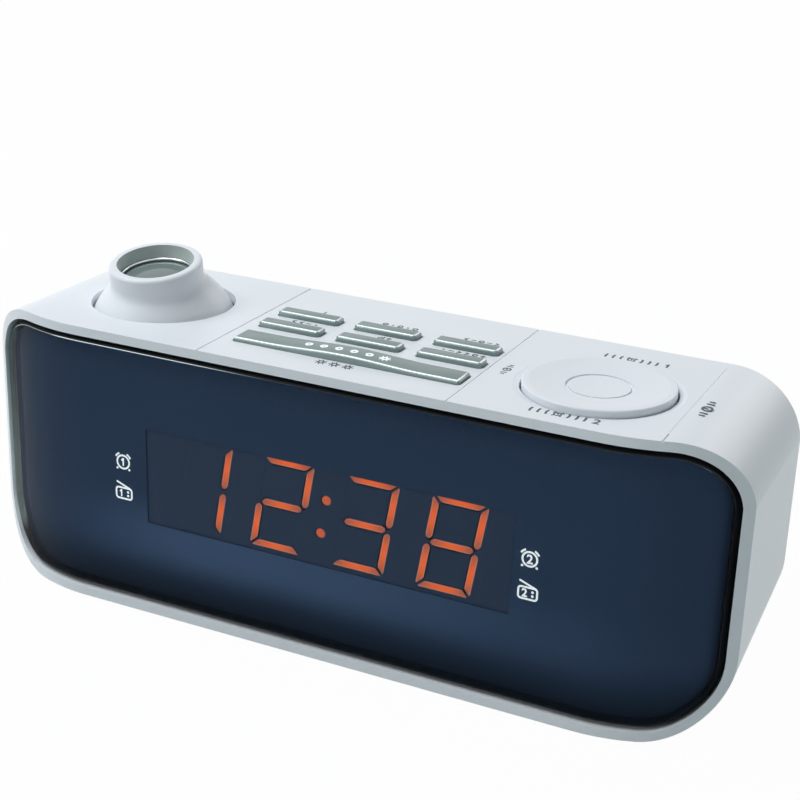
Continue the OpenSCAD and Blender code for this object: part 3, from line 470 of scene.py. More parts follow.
board_green = pattern_material("board_green", (0.012, 0.11, 0.045), (0.02, 0.16, 0.06), 0.3, scale=600)
plated_steel = pattern_material("plated_steel", (0.5, 0.5, 0.52), (0.68, 0.68, 0.7), 0.3, metallic=1.0,
                                scale=300, stretch=(1, 1, 5), bump_depth=0.2)
cone_paper = pattern_material("cone_paper", (0.02, 0.02, 0.02), (0.05, 0.048, 0.045), 0.9, scale=1500,
                              stretch=(1, 1, 0.4), bump_depth=0.6)
magnet_ferrite = pattern_material("magnet_ferrite", (0.07, 0.07, 0.075), (0.12, 0.12, 0.125), 0.65, scale=900,
                                  bump_depth=0.4)
cell_wrap = pattern_material("cell_wrap", (0.015, 0.16, 0.11), (0.02, 0.2, 0.14), 0.3, scale=120)
print("hidden finishes:", board_green.name, plated_steel.name, cone_paper.name, magnet_ferrite.name,
      cell_wrap.name)

# %% [markdown]
# The projector's lens is a clear moulding that looks milky grey-green, because the pale barrel round it
# shows in it. A fully clear one would look like a dark hole here, since little light gets down to the slide
# behind it. So it is part glass and part a pale body colour, a painted reflection of the barrel. The thin
# ring that holds it is bright metal, and the neck's bore is a darker grey than the case: painted shade.

# %% Lens and its trim
def clear_lens():
    material, tree, glass = new_surface("lens_clear",
                                        {"Transmission Weight": 0.35, "IOR": 1.49, "Roughness": 0.02})
    noise = add_node(tree, "ShaderNodeTexNoise", {"Vector": object_place(tree), "Scale": 60})
    # The pale grey-green body colour is a painted reflection of the barrel round the lens.
    tint = colour_ramp(tree, noise.outputs["Fac"], [(0, (0.24, 0.31, 0.30)), (1, (0.29, 0.36, 0.35))])
    tree.links.new(tint, glass.inputs["Base Color"])
    return material


lens_clear = clear_lens()
lens_trim = moulded("lens_trim", (0.66, 0.72, 0.72), 0.14, {"Metallic": 0.8})
# The bore's darker grey is painted shade for the deep recess.
bore_painted_shade = moulded("bore_painted_shade", (0.66, 0.72, 0.70), 0.55)
print("projector finishes:", lens_clear.name, lens_trim.name, bore_painted_shade.name)

# %% [markdown]
# Every CAD solid keeps its shape, and each whose slot has a finish here takes that finish, so the two
# never disagree.

# %% Finishes for the CAD solids
finishes = {
    "case_white": case_white, "smoked_panel": smoked_panel, "black_plastic": black_plastic,
    "display_grey": display_grey, "board_green": board_green, "plated_steel": plated_steel,
    "cone_paper": cone_paper, "magnet_ferrite": magnet_ferrite, "foot_rubber": foot_rubber,
    "cell_wrap": cell_wrap, "key_silver": key_silver, "inner_white": inner_white,
    "lens_clear": lens_clear, "lens_trim": lens_trim,
}
node_slots = {row["node"]: row["material_slot"] for row in frame["record"]["subparts"]}
for name, solid in frame["nodes"].items():
    finish = finishes.get(node_slots[name])
    if finish is None:
        continue
    solid.data.materials.clear()
    solid.data.materials.append(finish)
print("finished", sum(slot in finishes for slot in node_slots.values()), "of", len(node_slots), "solids")

# %% [markdown]
# A new piece is shaped in the case's own axes, in millimetres, and one helper then does what each needs: it
# merges doubles, turns the faces outwards, moves the mesh to its place on the table, and makes the object
# ride on its body. Faces are shaded smooth, with an edge kept crisp where it is sharper than a given angle.
# More helpers copy a CAD node's mesh, soften edges, round a face's corners and add a block.

# %% Shaping and finishing a piece
MERGE_NEW, MERGE_CAD, FLAT_WITHIN = 1e-5, 0.002, 0.3


def finish_piece(bm, name, materials, body, crisp=32.0):
    bmesh.ops.remove_doubles(bm, verts=bm.verts, dist=MERGE_NEW)
    bmesh.ops.recalc_face_normals(bm, faces=bm.faces)
    bm.transform(case_axes)
    mesh = bpy.data.meshes.new(name)
    bm.to_mesh(mesh)
    bm.free()
    for material in materials:
        mesh.materials.append(material)
    mesh.shade_smooth()
    mesh.set_sharp_from_angle(angle=math.radians(crisp))
    piece = bpy.data.objects.new(name, mesh)
    bpy.context.scene.collection.objects.link(piece)
    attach(piece, body)
    print(name, len(mesh.polygons), "faces")
    return piece


def merged_copy(node):
    """A CAD node's mesh in the case's axes, its loose triangles merged and its flat faces made whole."""
    source = frame["nodes"][node].data.copy()
    if "custom_normal" in source.attributes:
        source.attributes.remove(source.attributes["custom_normal"])
    bm = bmesh.new()
    bm.from_mesh(source)
    bpy.data.meshes.remove(source)
    bm.transform(case_axes.inverted())
    bmesh.ops.remove_doubles(bm, verts=bm.verts, dist=MERGE_CAD)
    bmesh.ops.dissolve_limit(bm, angle_limit=math.radians(FLAT_WITHIN), verts=bm.verts, edges=bm.edges)
    return bm


def soften(bm, edges, offset, segments=3, material=-1, clamp=False):
    bmesh.ops.bevel(bm, geom=edges, offset=offset, offset_type="OFFSET", affect="EDGES", segments=segments,
                    profile=0.5, material=material, clamp_overlap=clamp)


def trim_corners(bm, face, offset, segments):
    """Rounds a face's corners and gives back what is left of it."""
    made = bmesh.ops.bevel(bm, geom=list(face.verts), offset=offset, offset_type="OFFSET", affect="VERTICES",
                           segments=segments, profile=0.5, material=-1)
    return max({f for v in made["verts"] for f in v.link_faces}, key=lambda f: f.calc_area())


def add_block(bm, middle, size, turn=0.0):
    """A block of that size, turned about its upright. Gives its edges."""
    place = Matrix.Translation(middle) @ Matrix.Rotation(turn, 4, "Z") @ Matrix.Diagonal((*size, 1))
    verts = bmesh.ops.create_cube(bm, size=1, matrix=place)["verts"]
    return list({edge for vert in verts for edge in vert.link_edges})


def run(edge, axis):
    """How far an edge runs along an axis."""
    return abs(edge.verts[0].co[axis] - edge.verts[1].co[axis])


def new_verts(made):
    return [g for g in made["geom"] if isinstance(g, bmesh.types.BMVert)]


print("piece helpers ready")

# %% [markdown]
# The panel is a sheet that follows the front, polished on its face and rounded over along its edge. That
# rounded edge carries a thin painted highlight under the rim: the ring of faces that faces up takes a bright
# colour over part of its length, and the rings beyond it take painted shade, with a painted sheen at the left
# end. A CAD sheet is cut from loose triangles and has square edges, so its reflections would break up. Here
# the sheet starts as a grid whose columns are slid to the outline: they run from the bottom edge to the top,
# close together where the corners curve. The grid is wrapped round the front and copied for the back, and
# the rounded edge is grown from it ring by ring, down to the square edge behind.

# %% Display panel
CASE_W, PANEL_GAP, PANEL_SET, PANEL_THICK, PANEL_ROUND = 196.0, 0.6, 0.4, 1.9, 1.8
FRONT_FLAT, FRONT_RADIUS = 65.5, 47.0
UPPER_R, LOWER_R = 17.0, 18.5
SIDE_DRAFT, DRAFT_DEPTH = 0.9 / 55.5, 10
PANEL_INSET = WALL + PANEL_GAP
COLUMNS, ROWS, MIDDLE_SHARE = 120, 24, 0.6
EDGE_TURNS = [math.radians(turn) for turn in (12, 22, 29, 45, 60, 75, 90)]
HIGHLIGHT_RING, FACING_UP, SHEET_CRISP = 2, 0.8, 50


def front_depth(x, behind):
    """y of the surface that lies so far behind the front face, at x."""
    if abs(x) <= FRONT_FLAT:
        return behind
    return FRONT_RADIUS - math.sqrt(max((FRONT_RADIUS - behind) ** 2 - (abs(x) - FRONT_FLAT) ** 2, 0))


def outline_z(x, half, inset, y):
    """Lowest and highest z of a sheet's outline at x."""
    top, bottom = CASE_H - inset, inset / math.cos(lean) + y * math.tan(lean)
    upper, lower = UPPER_R - inset, LOWER_R - inset
    into_upper = max(abs(x) - (half - upper), 0)
    into_lower = max(abs(x) - (half - lower), 0)
    return (bottom + lower - math.sqrt(max(lower ** 2 - into_lower ** 2, 0)),
            top - upper + math.sqrt(max(upper ** 2 - into_upper ** 2, 0)))


def column_place(t, straight, half):
    """x of a column, t from -1 to 1: evenly spread over the middle, and by angle round the corners."""
    if abs(t) < MIDDLE_SHARE:
        return t / MIDDLE_SHARE * straight
    turn = (abs(t) - MIDDLE_SHARE) / (1 - MIDDLE_SHARE) * math.pi / 2
    return math.copysign(straight + (half - straight) * math.sin(turn), t)


def snap(places, edges):
    """Moves the place nearest to each edge onto that edge."""
    for edge in edges:
        nearest = min(range(len(places)), key=lambda i: abs(places[i] - edge))
        places[nearest] = edge


def half_width(inset):
    return CASE_W / 2 - inset - DRAFT_DEPTH * SIDE_DRAFT


def sheet_grid(inset, near, window=None):
    """A grid so far behind the front, inset from the case's outline. Faces in a window get index 1."""
    half = half_width(inset)
    columns = [column_place(2 * i / COLUMNS - 1, half - LOWER_R + inset, half) for i in range(COLUMNS + 1)]
    rows = [i / ROWS for i in range(ROWS + 1)]
    if window:
        low, high = outline_z(0, half, inset, near)
        snap(columns, window[0])
        snap(rows, [(z - low) / (high - low) for z in window[1]])
    bm = bmesh.new()
    bmesh.ops.create_grid(bm, x_segments=COLUMNS, y_segments=ROWS, size=1)
    for vertex in bm.verts:
        x = columns[round((vertex.co.x + 1) * COLUMNS / 2)]
        y = front_depth(x, near)
        low, high = outline_z(x, half, inset, y)
        vertex.co = (x, y, low + rows[round((vertex.co.y + 1) * ROWS / 2)] * (high - low))
    for face in bm.faces if window else []:
        middle = face.calc_center_median()
        if window[0][0] < middle.x < window[0][1] and window[1][0] < middle.z < window[1][1]:
            face.material_index = 1
    return bm


def outward(x, z, inset):
    """The way straight out from the outline, across the front, at a point on it."""
    half = half_width(inset)
    low, high = outline_z(0, half, inset, PANEL_SET)
    upper, lower = UPPER_R - inset, LOWER_R - inset
    corner = upper if z > (low + high) / 2 else lower
    across = x - max(-(half - corner), min(half - corner, x))
    along = z - max(low + lower, min(high - upper, z))
    return Vector((across, along)).normalized()


def make_panel():
    """The face, its rounded edge ring by ring, the square edge behind, and the back."""
    inner = PANEL_INSET + PANEL_ROUND
    bm = sheet_grid(inner, PANEL_SET)
    start = bm.verts.layers.float_vector.new("start")
    for vertex in bm.verts:
        vertex[start] = vertex.co
    edges = [e for e in bm.edges if e.is_boundary]
    for vertex in new_verts(bmesh.ops.duplicate(bm, geom=bm.faces[:])):
        vertex.co.y = front_depth(vertex.co.x, PANEL_SET + PANEL_THICK)
    rings = [(PANEL_ROUND * math.sin(t), PANEL_ROUND * (1 - math.cos(t))) for t in EDGE_TURNS]
    for step, (out, depth) in enumerate(rings + [(PANEL_ROUND, PANEL_THICK), (0, PANEL_THICK)]):
        grown = bmesh.ops.extrude_edge_only(bm, edges=edges)
        edges = [g for g in grown["geom"] if isinstance(g, bmesh.types.BMEdge)]
        for vertex in new_verts(grown):
            from_x, from_z = vertex[start].x, vertex[start].z
            way = outward(from_x, from_z, inner) * out
            vertex.co = (from_x + way.x, front_depth(from_x + way.x, PANEL_SET + depth), from_z + way.y)
        for face in [g for g in grown["geom"] if isinstance(g, bmesh.types.BMFace)]:
            # The ring facing up takes the painted highlight; the rings beyond take painted shade, with painted
            # sheen at the left end.
            upward = outward(*face.calc_center_median().xz, inner).y
            bright = step == HIGHLIGHT_RING and upward > FACING_UP
            face.material_index = 1 if bright else 2 if step > HIGHLIGHT_RING else 0
    return finish_piece(bm, "panel_lens", [smoked_panel, panel_edge_highlight, panel_rim_shade_and_sheen], "case",
                        crisp=SHEET_CRISP)


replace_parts(make_panel(), "display_panel")

# %% [markdown]
# The panel's colour is printed on its back: navy that fades to black at its edges, partly a printed border
# and partly painted shade, with a band of painted light low down. Over the display there is no ink, only a
# nearly clear lacquer that lets the lit bars shine. The print is a film that uses the same grid, with its
# rows and columns moved onto the window's edges.

# %% Print behind the panel, with painted shade and light
WINDOW = ((-47.5, 48.1), (23.5, 48.3))
INK_THICK, INK_INSET, INK_GAP = 0.06, 0.1, 0.02


def make_print():
    bm = sheet_grid(PANEL_INSET + INK_INSET, PANEL_SET + PANEL_THICK + INK_GAP, WINDOW)
    bmesh.ops.recalc_face_normals(bm, faces=bm.faces)
    if sum(f.normal.y * f.calc_area() for f in bm.faces) > 0:
        bmesh.ops.reverse_faces(bm, faces=bm.faces)
    bmesh.ops.solidify(bm, geom=bm.faces, thickness=INK_THICK)
    finish_piece(bm, "panel_print", [panel_backing, window_filter], "case", crisp=SHEET_CRISP)


make_print()

# %% [markdown]
# Behind the panel sits the display: four digits of seven bars and a two-dot colon, moulded as light guides
# with a small lamp under the middle of each bar. A lit bar is brightest there, fades to a dull pinkish red
# at its ends and has a rose border. An unlit one lies hidden behind the printed foil on the display's face.
# The lit ones stand out of the foil by a hair, each in a black well, which is the gap between it and its
# neighbours.
#
# Each bar starts as a flat outline in a digit's own coordinates. The outlines meet along their mitres, and
# insetting each by half the gap parts them evenly. A face's normal has to be worked out before the inset,
# or the operator does nothing.

# %% Bars of the display
DIGIT_H, DIGIT_W, BAR, BAR_GAP = 23.7, 13.5, 1.68, 0.7
DIGIT_PITCH, DIGIT_LEAN = 21.75, math.radians(9)
DISPLAY_MIDDLE = Vector((0.82, 0, 36.65))
BAR_FRONT, BAR_THICK, BAR_CORNER = 2.58, 0.9, 0.5
WELL_CORNER, WELL_THICK, HAIR = 0.45, 0.03, 0.05
FACE_FRONT, FACE_THICK, FACE_MARGIN, FACE_CORNER = 2.66, 0.02, 0.6, 0.4
DOT_RADIUS, DOT_SIDES, DOT_UV = 1.15, 32, (0.6, 0)
COLON_SHIFT, COLON_HALF = Vector((0.2, 0, -0.35)), 4.3
BARS_OF = {"1": "bc", "2": "abged", "3": "abgcd", "8": "abcdefg"}
SHOWN = "1238"


def bar_outlines():
    """The outlines of bars a to g, as points (x, z) round the digit's middle, before the gaps are cut."""
    w, h, b = DIGIT_W / 2 + BAR_GAP / 2, DIGIT_H / 2 + BAR_GAP / 2, BAR + BAR_GAP
    across = [(-w, h), (w, h), (w - b, h - b), (b - w, h - b)]
    upright = [(w, h), (w - b, h - b), (w - b, b / 2), (w - b / 2, 0), (w, b / 2)]
    middle = [(b / 2 - w, 0), (b - w, b / 2), (w - b, b / 2),
              (w - b / 2, 0), (w - b, -b / 2), (b - w, -b / 2)]
    return {
        "a": across, "d": [(x, -z) for x, z in across],
        "b": upright, "c": [(x, -z) for x, z in upright],
        "f": [(-x, z) for x, z in upright], "e": [(-x, -z) for x, z in upright],
        "g": middle,
    }


def all_bars():
    """For every bar of the four digits: its digit's middle, its outline and whether it is lit."""
    for place, figure in enumerate(SHOWN):
        middle = DISPLAY_MIDDLE + Vector(((place - (len(SHOWN) - 1) / 2) * DIGIT_PITCH, 0, 0))
        for bar, outline in bar_outlines().items():
            yield middle, outline, bar in BARS_OF[figure]


def slab_of(bm, outline, inset, corner, front, thick, middle, material_index):
    """A leaned slab from an outline: inset, its corners trimmed, thickened from front. UV runs along it."""
    uv = bm.loops.layers.uv.verify()
    face = bm.faces.new([bm.verts.new((x, 0, z)) for x, z in outline])
    face.normal_update()
    if inset:
        ring = bmesh.ops.inset_individual(bm, faces=[face], thickness=inset, use_even_offset=True)
        bmesh.ops.delete(bm, geom=ring["faces"], context="FACES")
    face = trim_corners(bm, face, corner, 3)
    xs, zs = [v.co.x for v in face.verts], [v.co.z for v in face.verts]
    centre = Vector(((min(xs) + max(xs)) / 2, 0, (min(zs) + max(zs)) / 2))
    half_x, half_z = (max(xs) - min(xs)) / 2, (max(zs) - min(zs)) / 2
    near = list(face.verts)
    rear = new_verts(bmesh.ops.extrude_face_region(bm, geom=[face]))
    bmesh.ops.translate(bm, verts=rear, vec=(0, thick, 0))
    whole = set(near) | set(rear)
    for f in {f for v in whole if v.is_valid for f in v.link_faces}:
        f.material_index = material_index
        for loop in f.loops:
            off = loop.vert.co - centre
            along, aside = off.x / half_x, off.z / half_z
            loop[uv].uv = (aside, along) if half_z > half_x else (along, aside)
    shear = Matrix.Identity(4)
    shear[0][2] = math.tan(DIGIT_LEAN)
    place = Matrix.Translation(middle + Vector((0, front, 0)))
    bmesh.ops.transform(bm, matrix=place @ shear, verts=list(whole))


def add_colon(bm, radius, front, thick):
    uv = bm.loops.layers.uv.verify()
    for side in (-1, 1):
        rise = side * COLON_HALF
        middle = DISPLAY_MIDDLE + COLON_SHIFT + Vector((rise * math.tan(DIGIT_LEAN), front + thick / 2, rise))
        place = Matrix.Translation(middle) @ Matrix.Rotation(math.pi / 2, 4, "X")
        made = bmesh.ops.create_cone(bm, cap_ends=True, segments=DOT_SIDES, radius1=radius, radius2=radius,
                                     depth=thick, matrix=place)["verts"]
        for loop in (loop for f in {f for v in made for f in v.link_faces} for loop in f.loops):
            loop[uv].uv = DOT_UV


GLOW, GLOW_BODY, GLOW_ROUGH = 1.35, (0.10, 0.03, 0.03, 1), 0.4
GLOW_STOPS = [(0.0, (1.0, 0.15, 0.02)), (0.35, (0.88, 0.14, 0.022)), (0.75, (0.52, 0.115, 0.05)),
              (1.0, (0.36, 0.125, 0.085))]
BORDER_ROSE, BORDER_FROM, BORDER_TO, BORDER_MOST = (0.60, 0.27, 0.18, 1), 0.55, 0.95, 0.85


def glowing_bar():
    """Emission that fades along the bar's UV map from orange to rose, with a rose border along both sides."""
    material, tree, guide = new_surface("lit_orange", {"Base Color": GLOW_BODY, "Roughness": GLOW_ROUGH,
                                                       "Emission Strength": GLOW})
    bar_map = tree.nodes.new("ShaderNodeUVMap").outputs["UV"]
    place = add_node(tree, "ShaderNodeSeparateXYZ", {"Vector": bar_map}).outputs
    along, aside = (add_math(tree, "ABSOLUTE", place[axis]) for axis in "XY")
    border = map_range(tree, aside, BORDER_FROM, BORDER_TO, top=BORDER_MOST)
    glow = mix_colours(tree, border, colour_ramp(tree, along, GLOW_STOPS), BORDER_ROSE)
    tree.links.new(glow, guide.inputs["Emission Color"])
    return material


def make_digits():
    bm = bmesh.new()
    bm.loops.layers.uv.new("along_bar")
    for middle, outline, lit in all_bars():
        front = BAR_FRONT if lit else FACE_FRONT + HAIR
        slab_of(bm, outline, BAR_GAP / 2, BAR_CORNER, front, BAR_THICK, middle, 0 if lit else 1)
    add_colon(bm, DOT_RADIUS, BAR_FRONT, BAR_THICK)
    return finish_piece(bm, "digit_light_bars", [glowing_bar(), display_grey], "case")


def make_wells():
    """The dark surround of each lit bar, a thin slab behind its face and a little wider than it."""
    bm = bmesh.new()
    bm.loops.layers.uv.new("along_bar")
    front = BAR_FRONT + WELL_THICK
    for middle, outline, lit in all_bars():
        if lit:
            slab_of(bm, outline, 0, WELL_CORNER, front, WELL_THICK, middle, 0)
    add_colon(bm, DOT_RADIUS + BAR_GAP / 2, front, WELL_THICK)
    finish_piece(bm, "digit_wells", [black_plastic], "case")


def make_face():
    """The printed foil on the display block's face, a little larger than the window."""
    bm = bmesh.new()
    (low_x, high_x), (low_z, high_z) = WINDOW
    middle = ((low_x + high_x) / 2, FACE_FRONT + FACE_THICK / 2, (low_z + high_z) / 2)
    size = (high_x - low_x + 2 * FACE_MARGIN, FACE_THICK, high_z - low_z + 2 * FACE_MARGIN)
    corners = [edge for edge in add_block(bm, middle, size) if run(edge, 1) > FACE_THICK / 2]
    soften(bm, corners, FACE_CORNER)
    finish_piece(bm, "display_face", [display_grey], "case")


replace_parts(make_digits(), "digit_bars")
make_wells()
make_face()

# %% [markdown]
# The small signs are printed: white ones on the panel, dark grey ones on the deck. The white print also
# has a faint painted glow, so that it reads bright. A print is a film a few hundredths of a millimetre thick,
# so each sign is built flat from strokes, rings and figures, given a little thickness, and laid on its
# surface. Every sign here is a plain pictogram or numeral. A stroke is a thin block with its corners
# rounded, and a ring is a flat rectangle spun round its centre.

# %% Tools for printed signs
FILM, STROKE_ROUND, RING_STEP, ARC_STEPS, SPOT_SIDES = 0.03, 0.42, 10, 6, 16


def add_stroke(bm, start, end, width):
    start, end = Vector((*start, 0)), Vector((*end, 0))
    way = end - start
    block = add_block(bm, (start + end) / 2, (way.length + width, width, FILM), math.atan2(way.y, way.x))
    soften(bm, [edge for edge in block if run(edge, 2) > FILM / 2], width * STROKE_ROUND)


def add_ring(bm, centre, radius, width, first=0.0, sweep=360.0):
    """A ring, or part of one from the angle first, as a rectangle spun round the centre."""
    out = Vector((math.cos(math.radians(first)), math.sin(math.radians(first)), 0))
    middle = Vector((*centre, 0))
    corners = [middle + out * (radius + a * width / 2) + Vector((0, 0, b * FILM / 2))
               for a, b in ((-1, -1), (1, -1), (1, 1), (-1, 1))]
    section = bm.faces.new([bm.verts.new(c) for c in corners])
    whole = sweep >= 360
    bmesh.ops.spin(bm, geom=[section, *section.edges, *section.verts], cent=middle, axis=(0, 0, 1),
                   angle=math.radians(sweep), steps=max(ARC_STEPS, round(sweep / RING_STEP)),
                   use_merge=whole, use_duplicate=False)
    if whole:
        bmesh.ops.delete(bm, geom=[section], context="FACES_ONLY")


def add_spot(bm, centre, radius):
    bmesh.ops.create_cone(bm, cap_ends=True, segments=SPOT_SIDES, radius1=radius, radius2=radius,
                          depth=FILM, matrix=Matrix.Translation((*centre, 0)))


def add_frame(bm, centre, wide, high, corner, width):
    """A rounded rectangle drawn as a line."""
    x, y = centre
    face = bm.faces.new([bm.verts.new((x + a * wide / 2, y + b * high / 2, -FILM / 2))
                         for a, b in ((-1, -1), (1, -1), (1, 1), (-1, 1))])
    face = trim_corners(bm, face, corner, 4)
    ring = bmesh.ops.inset_individual(bm, faces=[face], thickness=width, use_even_offset=True)["faces"]
    bmesh.ops.delete(bm, geom=[face], context="FACES_ONLY")
    bmesh.ops.translate(bm, verts=new_verts(bmesh.ops.extrude_face_region(bm, geom=ring)), vec=(0, 0, FILM))


FIGURE_SHARE, FIGURE_BOLD = 0.69, 0.035
ONE_HALF, ONE_WIDE, FLAG_ASIDE, FLAG_UP, FLAG_WIDE = 0.4, 0.2, 0.2, 0.22, 0.17


def add_figure(bm, figure, centre, high):
    """A numeral: a 1 from two strokes, any other from Blender's own typeface made into a mesh and centred."""
    if figure == "1":
        x, y = centre
        top = (x, y + high * ONE_HALF)
        add_stroke(bm, (x, y - high * ONE_HALF), top, high * ONE_WIDE)
        add_stroke(bm, top, (x - high * FLAG_ASIDE, y + high * FLAG_UP), high * FLAG_WIDE)
        return
    curve = bpy.data.curves.new("figure", "FONT")
    curve.body = figure
    curve.size = high / FIGURE_SHARE
    curve.extrude = FILM / 2
    curve.offset = high * FIGURE_BOLD
    curve.align_x = "CENTER"
    written = bpy.data.objects.new("figure", curve)
    bpy.context.scene.collection.objects.link(written)
    mesh = bpy.data.meshes.new_from_object(written.evaluated_get(bpy.context.evaluated_depsgraph_get()))
    mesh.transform(Matrix.Translation((centre[0], centre[1] - high / 2, 0)))
    bm.from_mesh(mesh)
    bpy.data.objects.remove(written)
    bpy.data.curves.remove(curve)
    bpy.data.meshes.remove(mesh)


def add_sign(target, sign, place):
    """Moves a finished sign to its place and adds it to the print."""
    sign.transform(place)
    mesh = bpy.data.meshes.new("sign")
    sign.to_mesh(mesh)
    sign.free()
    target.from_mesh(mesh)
    bpy.data.meshes.remove(mesh)


# The white print's faint emission is a painted glow.
white_print_painted_glow = moulded("white_print_painted_glow", (0.86, 0.90, 0.92), 0.5,
                      {"Emission Color": (0.9, 0.98, 1, 1), "Emission Strength": 0.35}, clouding=0.12)
grey_print = moulded("grey_print", (0.055, 0.075, 0.085), 0.55, clouding=0.12)
print("prints:", white_print_painted_glow.name, grey_print.name)

# %% [markdown]
# Two signs stand at each side of the display: a bell clock for an alarm and a small radio for waking to the
# radio, each with the alarm's number. The panel's face is flat there, so the film lies in one plane.

# %% Signs on the panel
LINE = 0.45
SIGN_ASIDE, ALARM_HIGH, RADIO_HIGH = 52.9, 39.4, 31.7
DIAL_MIDDLE, DIAL_RADIUS, DIAL_FIGURE = (0, -0.15), 1.72, 2.1
BELL_RADIUS, BELLS_FROM, BELL_SWEEP = 2.42, (30, 116), 34
LEG_ASIDE, LEG_UP, LEG_RADIUS = 1.72, -1.95, 0.30
RADIO_MIDDLE, RADIO_WIDE, RADIO_TALL, RADIO_CORNER = (0, -0.75), 4.9, 3.3, 0.9
AERIAL_TOP, AERIAL_FOOT = (-1.9, 2.1), (1.7, 0.72)
RADIO_FIGURE_AT, RADIO_FIGURE = (-0.75, -0.75), 1.9
KNOB_ASIDE, KNOBS_UP, KNOB_RADIUS = 1.15, (-1.25, -0.3), 0.32


def alarm_sign(figure):
    bm = bmesh.new()
    add_ring(bm, DIAL_MIDDLE, DIAL_RADIUS, LINE)
    for first in BELLS_FROM:
        add_ring(bm, DIAL_MIDDLE, BELL_RADIUS, LINE, first, BELL_SWEEP)
    for side in (-1, 1):
        add_spot(bm, (side * LEG_ASIDE, LEG_UP), LEG_RADIUS)
    add_figure(bm, figure, DIAL_MIDDLE, DIAL_FIGURE)
    return bm


def radio_sign(figure):
    bm = bmesh.new()
    add_frame(bm, RADIO_MIDDLE, RADIO_WIDE, RADIO_TALL, RADIO_CORNER, LINE)
    add_stroke(bm, AERIAL_TOP, AERIAL_FOOT, LINE)
    add_figure(bm, figure, RADIO_FIGURE_AT, RADIO_FIGURE)
    for up in KNOBS_UP:
        add_spot(bm, (KNOB_ASIDE, up), KNOB_RADIUS)
    return bm


def make_panel_signs():
    bm = bmesh.new()
    stand = Matrix.Rotation(math.pi / 2, 4, "X")
    for x, figure in ((-SIGN_ASIDE, "1"), (SIGN_ASIDE, "2")):
        for z, sign in ((ALARM_HIGH, alarm_sign), (RADIO_HIGH, radio_sign)):
            add_sign(bm, sign(figure), Matrix.Translation((x, PANEL_SET - FILM / 2, z)) @ stand)
    finish_piece(bm, "panel_signs", [white_print_painted_glow], "case")


make_panel_signs()

# %% [markdown]
# On the deck the signs are dark grey and smaller: the two alarms behind and in front of the round pad, an
# hour hand to its left and a minute hand to its right, three lamps in front of the snooze bar, and a row of
# plain marks behind each key for what it does.

# %% Signs on the deck
DECK_Z = CASE_H + FILM / 2
FINE, MARK_PITCH, RING_MARK, SPOT_MARK = 0.40, 2.0, 0.55, 0.3
HAND_DIAL, MINUTE_HAND, HOUR_HAND, MINUTE_SCALE = 0.85, (0, 0.5), (0.35, 0.2), (1.45, 1.25, 1)
BARS_BESIDE = [(2.0, 0.55), (3.0, 0.35)]  # how far aside each stands, and half its length
BULB, RAYS, RAY_FROM, RAY_TO, RAY_WIDE = 0.55, 8, 0.9, 1.15, 0.22
LAMPS_ACROSS, LAMPS_BACK, LAMP_SCALE = (-3.1, 0.3, 3.7), 7.9, (1.2, 1.2, 1, 1)
WAVES, WAVE_HALF, WAVE_WIDE = (2.6, 4.4, 6.2), 1.15, 0.5
ROW_FIGURE_AT, ROW_FIGURE = (8.7, 0), 2.4
MARKS = {  # the strokes of each mark, from end to end
    "-": [((-0.5, 0), (0.5, 0))],
    "+": [((-0.5, 0), (0.5, 0)), ((0, -0.5), (0, 0.5))],
    "i": [((0, -0.55), (0, 0.55))],
    ">": [((-0.35, 0.55), (0.35, 0)), ((0.35, 0), (-0.35, -0.55))],
    "<": [((0.35, 0.55), (-0.35, 0)), ((-0.35, 0), (0.35, -0.55))],
    "v": [((-0.6, -0.6), (-0.6, -0.2)), ((0, -0.6), (0, 0.2)), ((0.6, -0.6), (0.6, 0.6))],
}


def mark_row(marks):
    """A row of small marks, centred: each letter of the string picks one, o a ring and a full stop a spot."""
    bm = bmesh.new()
    for place, mark in enumerate(marks):
        x = (place - (len(marks) - 1) / 2) * MARK_PITCH
        for (from_x, from_y), (to_x, to_y) in MARKS.get(mark, []):
            add_stroke(bm, (x + from_x, from_y), (x + to_x, to_y), FINE)
        if mark == "o":
            add_ring(bm, (x, 0), RING_MARK, FINE)
        if mark == ".":
            add_spot(bm, (x, 0), SPOT_MARK)
    return bm


def hand_sign(long_hand):
    """A round dial with one hand, between pairs of bars. The minute hand's is larger."""
    bm = bmesh.new()
    add_ring(bm, (0, 0), HAND_DIAL, FINE)
    add_stroke(bm, (0, 0), MINUTE_HAND if long_hand else HOUR_HAND, FINE)
    for side in (-1, 1):
        for aside, half in BARS_BESIDE:
            add_stroke(bm, (side * aside, -half), (side * aside, half), FINE)
    if long_hand:
        bmesh.ops.scale(bm, vec=MINUTE_SCALE, verts=bm.verts)
    return bm


def lamp_sign():
    bm = bmesh.new()
    add_ring(bm, (0, 0), BULB, FINE)
    for ray in range(RAYS):
        turn = ray * 2 * math.pi / RAYS
        way = Vector((math.cos(turn), math.sin(turn)))
        add_stroke(bm, way * RAY_FROM, way * RAY_TO, RAY_WIDE)
    return bm


def alarm_row(figure):
    """A bell clock between two sets of waves, and the alarm's number."""
    bm = bmesh.new()
    add_ring(bm, (0, -0.1), 0.82, FINE)
    add_stroke(bm, (0, -0.1), (0, 0.25), FINE)
    for side in (-1, 1):
        add_stroke(bm, (side * 0.75, 1.05), (side * 1.15, 0.65), FINE)
        add_stroke(bm, (side * 0.8, -1.0), (side * 0.95, -1.15), FINE)
        for radius in WAVES:
            half_arc = math.degrees(math.asin(WAVE_HALF / radius))
            add_ring(bm, (0, 0), radius, WAVE_WIDE, (0 if side > 0 else 180) - half_arc, 2 * half_arc)
    add_figure(bm, figure, ROW_FIGURE_AT, ROW_FIGURE)
    return bm


